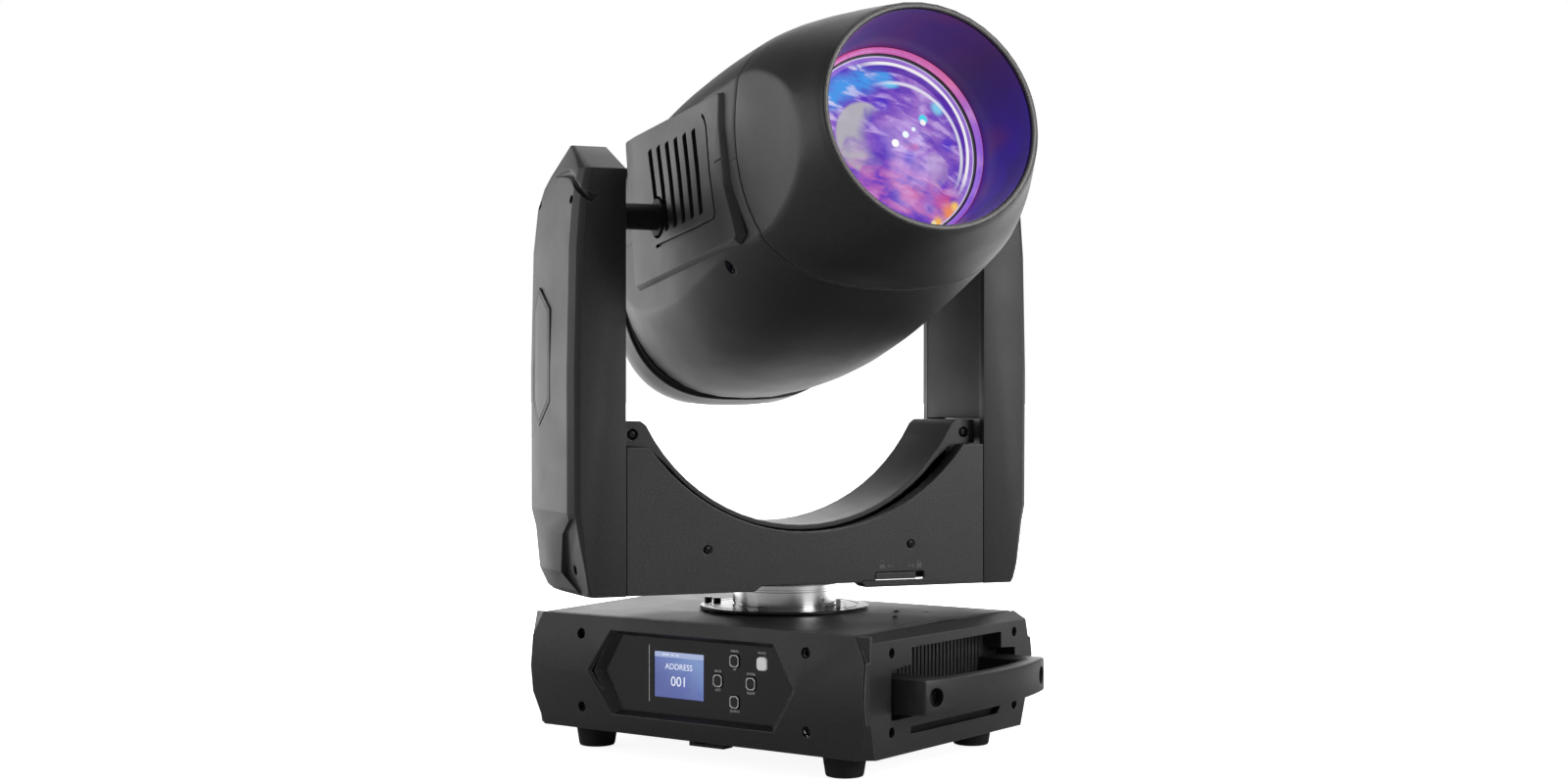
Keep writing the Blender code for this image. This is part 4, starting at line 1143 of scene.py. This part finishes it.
def hood_lining():
    profile = [(80.25, 272.6), (78.75, 253), (78.2, 250.9), (77.05, 235), (76.5, 232.9), (75.4, 220),
               (75.0, 211), (74.7, 211), (75.1, 220), (76.2, 233.0), (76.75, 235), (77.9, 251),
               (78.45, 253), (79.95, 272.6)]
    lining = [(r - 0.22, -u) for r, u in profile]
    rim = [(83.9, -273.8), (83.9, -275.1), (83.5, -275.4), (81.1, -275.4), (80.5, -274.9), (80.5, -273.8)]
    ring = [(71.3, -204.6), (74.75, -204.6), (74.75, -209.0), (74.2, -210.6), (73.6, -210.9),
            (73.3, -210.4), (72.9, -210.9), (72.3, -210.9), (72.0, -210.3), (71.6, -210.2),
            (71.3, -209.4)]
    for name, profile, look, sharp in (("hood_lining", lining, HOOD, 25), ("hood_rim", rim, RIM, 60),
                                       ("lens_retainer", ring, RETAINER, 25)):
        around = turned("y", profile, count=ROUND, closed=True)
        shown(name, around, "head", look, sharp=sharp, slot="head_front_cowl")


def front_lens():
    """A dome of glass with a shallow cone behind it."""
    edge_r = 69.7
    edge_u = 203.5
    rise = 12.6
    rows = 22
    sphere = (edge_r ** 2 + rise ** 2) / (2 * rise)
    profile = [(0.3, -192), (edge_r, -198), (edge_r, -edge_u)]
    for row in range(1, rows):
        r = edge_r * (1 - row / rows)
        profile.append((r, -(edge_u + rise - sphere + math.sqrt(sphere ** 2 - r ** 2))))
    profile.append((0.3, -(edge_u + rise)))
    shown("front_lens_fine", turned("y", profile, count=ROUND), "head", LENS, "front_lens", sharp=40)


def cap_outline(u, inset):
    sizes = ((-190.0, 80.0, 86.0, 102.0), (-178.0, 92.0, 98.0, 115.0), (-150.0, 103.0, 108.0, 124.0),
             (-112.4, 108.0, 113.5, 126.0))
    half, high, low = (value - inset for value in between(sizes, u))
    side = 106.0 - inset
    made = []
    for step in range(CAP_COUNT):
        c, s = squared(2 * math.pi * step / CAP_COUNT, CAP_POWER)
        made.append(beam(max(-side, min(side, half * c)), u, (high if s > 0 else low) * s))
    return made


def rear_cap():
    stops = [(-112.8, 6.0), (-112.8, 3.2), (-117.0, 3.2), (-117.3, 0.6), (-118.2, 0.0)]
    stops += [(-122.0 - 6 * step, 0.0) for step in range(10)]
    stops += [(-182.0, 0.0), (-186.0, 0.6), (-188.6, 2.0), (-189.8, 4.6), (-190.0, 8.0)]
    hollow = ((-108, 9.0), (-120, 5.0), (-150, 4.0), (-180, 4.0), (-186.5, 9.0))
    piece = mesh_object("rear_cap_fine", loft([cap_outline(*stop) for stop in stops]), HEAD)
    cut(piece, loft([cap_outline(*stop) for stop in hollow]), HEAD)
    slots = []
    for low in range(-57, 43, 11):
        outline = [(-52, low), (52, low), (52, low + 5), (-52, low + 5)]
        slots.append(prism("y", rounded(outline, 2), 180, 200))
    cut(piece, merged(*slots), HEAD)
    for side in (-1, 1):
        bars = []
        for near in range(138, 166, 9):
            outline = [(side * 90, near), (side * 112, near), (side * 112, near + 4),
                       (side * 90, near + 4)]
            bars.append(prism("z", outline, -62, -22))
        cut(piece, merged(*bars), HEAD)
    show(piece, "head", COVER, "head_rear_cap", sharp=32)


# Corners of a vent panel's face and foot, and the corners of its groove, as (u, v).
PANEL_FACE = ((-66, 84), (-41, 81.3), (148.5, 54.1), (142.9, 31.4), (143.6, -16), (159.8, -59.4),
              (157.0, -61.2), (-41, -43.5), (-66, -41))
PANEL_FOOT = ((-71, 86.6), (-44, 83.8), (155.6, 53.6), (149.3, 28.8), (149.5, -17.2), (165.6, -59.2),
              (156.2, -65), (-42, -47.4), (-71, -44.5))
PANEL_GROOVE = ((111.6, 49.2), (116, 44.5), (118.6, 37.6), (118.7, 2.1), (123.3, -31), (122.6, -34),
                (118.4, -35.8), (55, -29.4), (-8, -22.2))


def panel_ring(x, share, grow=0.0):
    """One outline between a vent panel's foot and face, with rounded corners."""
    made = []
    for foot, face in zip(PANEL_FOOT, PANEL_FACE):
        middle = Vector(foot).lerp(Vector(face), share)
        inward = (Vector((50, 8)) - middle).normalized() * grow
        made.append(tuple(middle + inward))
    return [(x, -u, v) for u, v in rounded(made, 3.5, 4)]


def panel_line(points, width):
    return [(-u, v) for u, v in strip(points, width)]


def vent_panel(side, turn):
    node = f"vent_panel_{side}"
    bore = turn(cylinder("x", 17.0, 90, 130, 0, 0, 48))
    stages = ((99.0, 0.0, 0.0), (104.4, 0.0, 0.0), (105.0, 0.06, 0.0), (109.6, 0.9, 0.0),
              (110.2, 0.97, 0.2), (PANEL_X, 1.0, 0.9))
    piece = mesh_object(f"{node}_fine", turn(loft([panel_ring(*stage) for stage in stages])), HEAD)
    slots = []
    for step in range(6):
        top = (-8.1 + 19.9 * step, 59.2 - 3.05 * step)
        low = (0.9 + 18.9 * step, -13.9 - 2.2 * step)
        middle = ((top[0] + low[0]) / 2 + 0.9, (top[1] + low[1]) / 2)
        outline = rounded(strip([top, middle, low], 8.4), 1.6)
        slots.append(prism("x", [(-u, v) for u, v in outline], 102.0, 130))
    groove = prism("x", panel_line(PANEL_GROOVE, 2.8), PANEL_X - 2.2, 130)
    split = prism("x", panel_line([(129.9, 5.3), (138.3, 4.8), (172, -1.5)], 0.9), PANEL_X - 1.0, 130)
    for tool in (merged(*slots), groove, split):
        cut(piece, turn(tool), HEAD)
    cut(piece, bore, HEAD)
    show(piece, "head", PANEL, node, sharp=20)
    # A dark plate behind the slots: painted shade standing for the shadow inside the head.
    plate = prism("x", [(20, 64), (-108, 46), (-112, -36), (4, -20)], 101.9, 102.5)
    shade_plate = mesh_object(f"vent_shade_plate_{side}", turn(plate), HEAD)
    cut(shade_plate, bore, HEAD)
    show(shade_plate, "head", SHADE_BLACK, slot=node)


def tilt_shaft(side, turn):
    """The shaft as built, waisted where it crosses from the head to the arm, and coloured in painted-shade
    black so it reads as the shadow between them.
    """
    node = f"tilt_shaft_{side}"
    piece = copied(f"{node}_fine", node)
    waist = turned("x", [(10.5, 112), (17, 112), (17, 152.5), (10.5, 152.5)], count=48, closed=True)
    cut(piece, turn(waist), HEAD)
    show(piece, "head", SHADE_BLACK, node)


def lamp_head():
    head_shells()
    cowl()
    hood_lining()
    front_lens()
    rear_cap()
    sided(vent_panel)
    sided(tilt_shaft)


# ---------------------------------------------------------------- stage, light and camera

# Level directions that point away from the front of the light, to where the surround is bright.
FAR_SIDE = (-0.49, 0.872, 0.0)
FLOOR_FAR_SIDE = (-0.5, 0.866, 0.0)
FLOOR_GAP = 0.2 * MM


def area_light(name, place, aim, size, power):
    light = bpy.data.lights.new(name, "AREA")
    light.shape = "RECTANGLE"
    light.size, light.size_y = size
    light.energy = power
    made = linked(name, light)
    made.location = place
    made.rotation_euler = (Vector(aim) - Vector(place)).to_track_quat("-Z", "Y").to_euler()


def backdrop_world():
    """Soft studio surround: bright low down behind, dim in front; the camera itself sees plain white."""
    world = bpy.data.worlds.new("studio")
    bpy.context.scene.world = world
    paint = Paint(world, "Generated")
    height = paint.add("SeparateXYZ", {0: paint.place})["Z"]
    level = paint.maths("SQRT", paint.maths("SUBTRACT", 1.001, paint.maths("POWER", height, 2.0)))
    facing = paint.maths("DIVIDE", paint.dot(paint.place, FAR_SIDE), level)
    share = paint.both(paint.step(facing, 0.91, 0.98), paint.step(height, 0.80, 0.45))
    shade = paint.blend(share, grey(0.15), grey(2.6))
    seen = paint.add("LightPath", {})["Is Camera Ray"]
    paint.finish("Background", Color=paint.blend(seen, shade, grey(1.0)))


def floor_material():
    """Pale sweep, lit a little from within so that it stays even out to the horizon."""
    paint = start_paint("pale_floor")
    tint = paint.ramp(paint.noise(3.0), [(0.3, grey(0.52)), (0.7, grey(0.54))])
    bright = paint.step(paint.dot(paint.place, FLOOR_FAR_SIDE), 0.05, 1.0, 3.8)
    seen = paint.both(paint.add("LightPath", {})["Is Camera Ray"], 1.7)
    return paint.lit(tint, paint.maths("MAXIMUM", seen, bright), 0.9, 0.85)


def stage():
    floor_z = CAD_BOX[0][2] - FLOOR_GAP
    bpy.ops.mesh.primitive_plane_add(size=120, location=(0, 0, floor_z))
    floor = bpy.context.active_object
    floor.name = "floor"
    floor.data.materials.append(floor_material())
    backdrop_world()
    area_light("left_softbox", (-2.35, 0.05, 0.6), (-0.1, -0.1, 0.35), (1.4, 1.5), 14)
    area_light("front_left_softbox", (-1.7, -2.1, 0.9), (0, 0, 0.3), (1.5, 1.3), 19)
    area_light("right_softbox", (2.4, 0.1, 1.15), (0, 0, 0.4), (1.1, 1.5), 44)
    area_light("overhead", (-0.3, 0.6, 2.4), (0, 0, 0.2), (2.0, 1.4), 17)


def camera():
    data = bpy.data.cameras.new("camera")
    data.lens = 48.92
    data.sensor_width = 36.0
    data.shift_y = 0.0022
    made = linked("camera", data)
    made.location = (1.0345, -1.4200, 0.2699)
    made.rotation_euler = (math.radians(90), 0, math.radians(36.08))
    bpy.context.scene.camera = made
    bpy.context.scene.view_settings.view_transform = "Standard"


camera()
stage()
base()
yoke()
lamp_head()
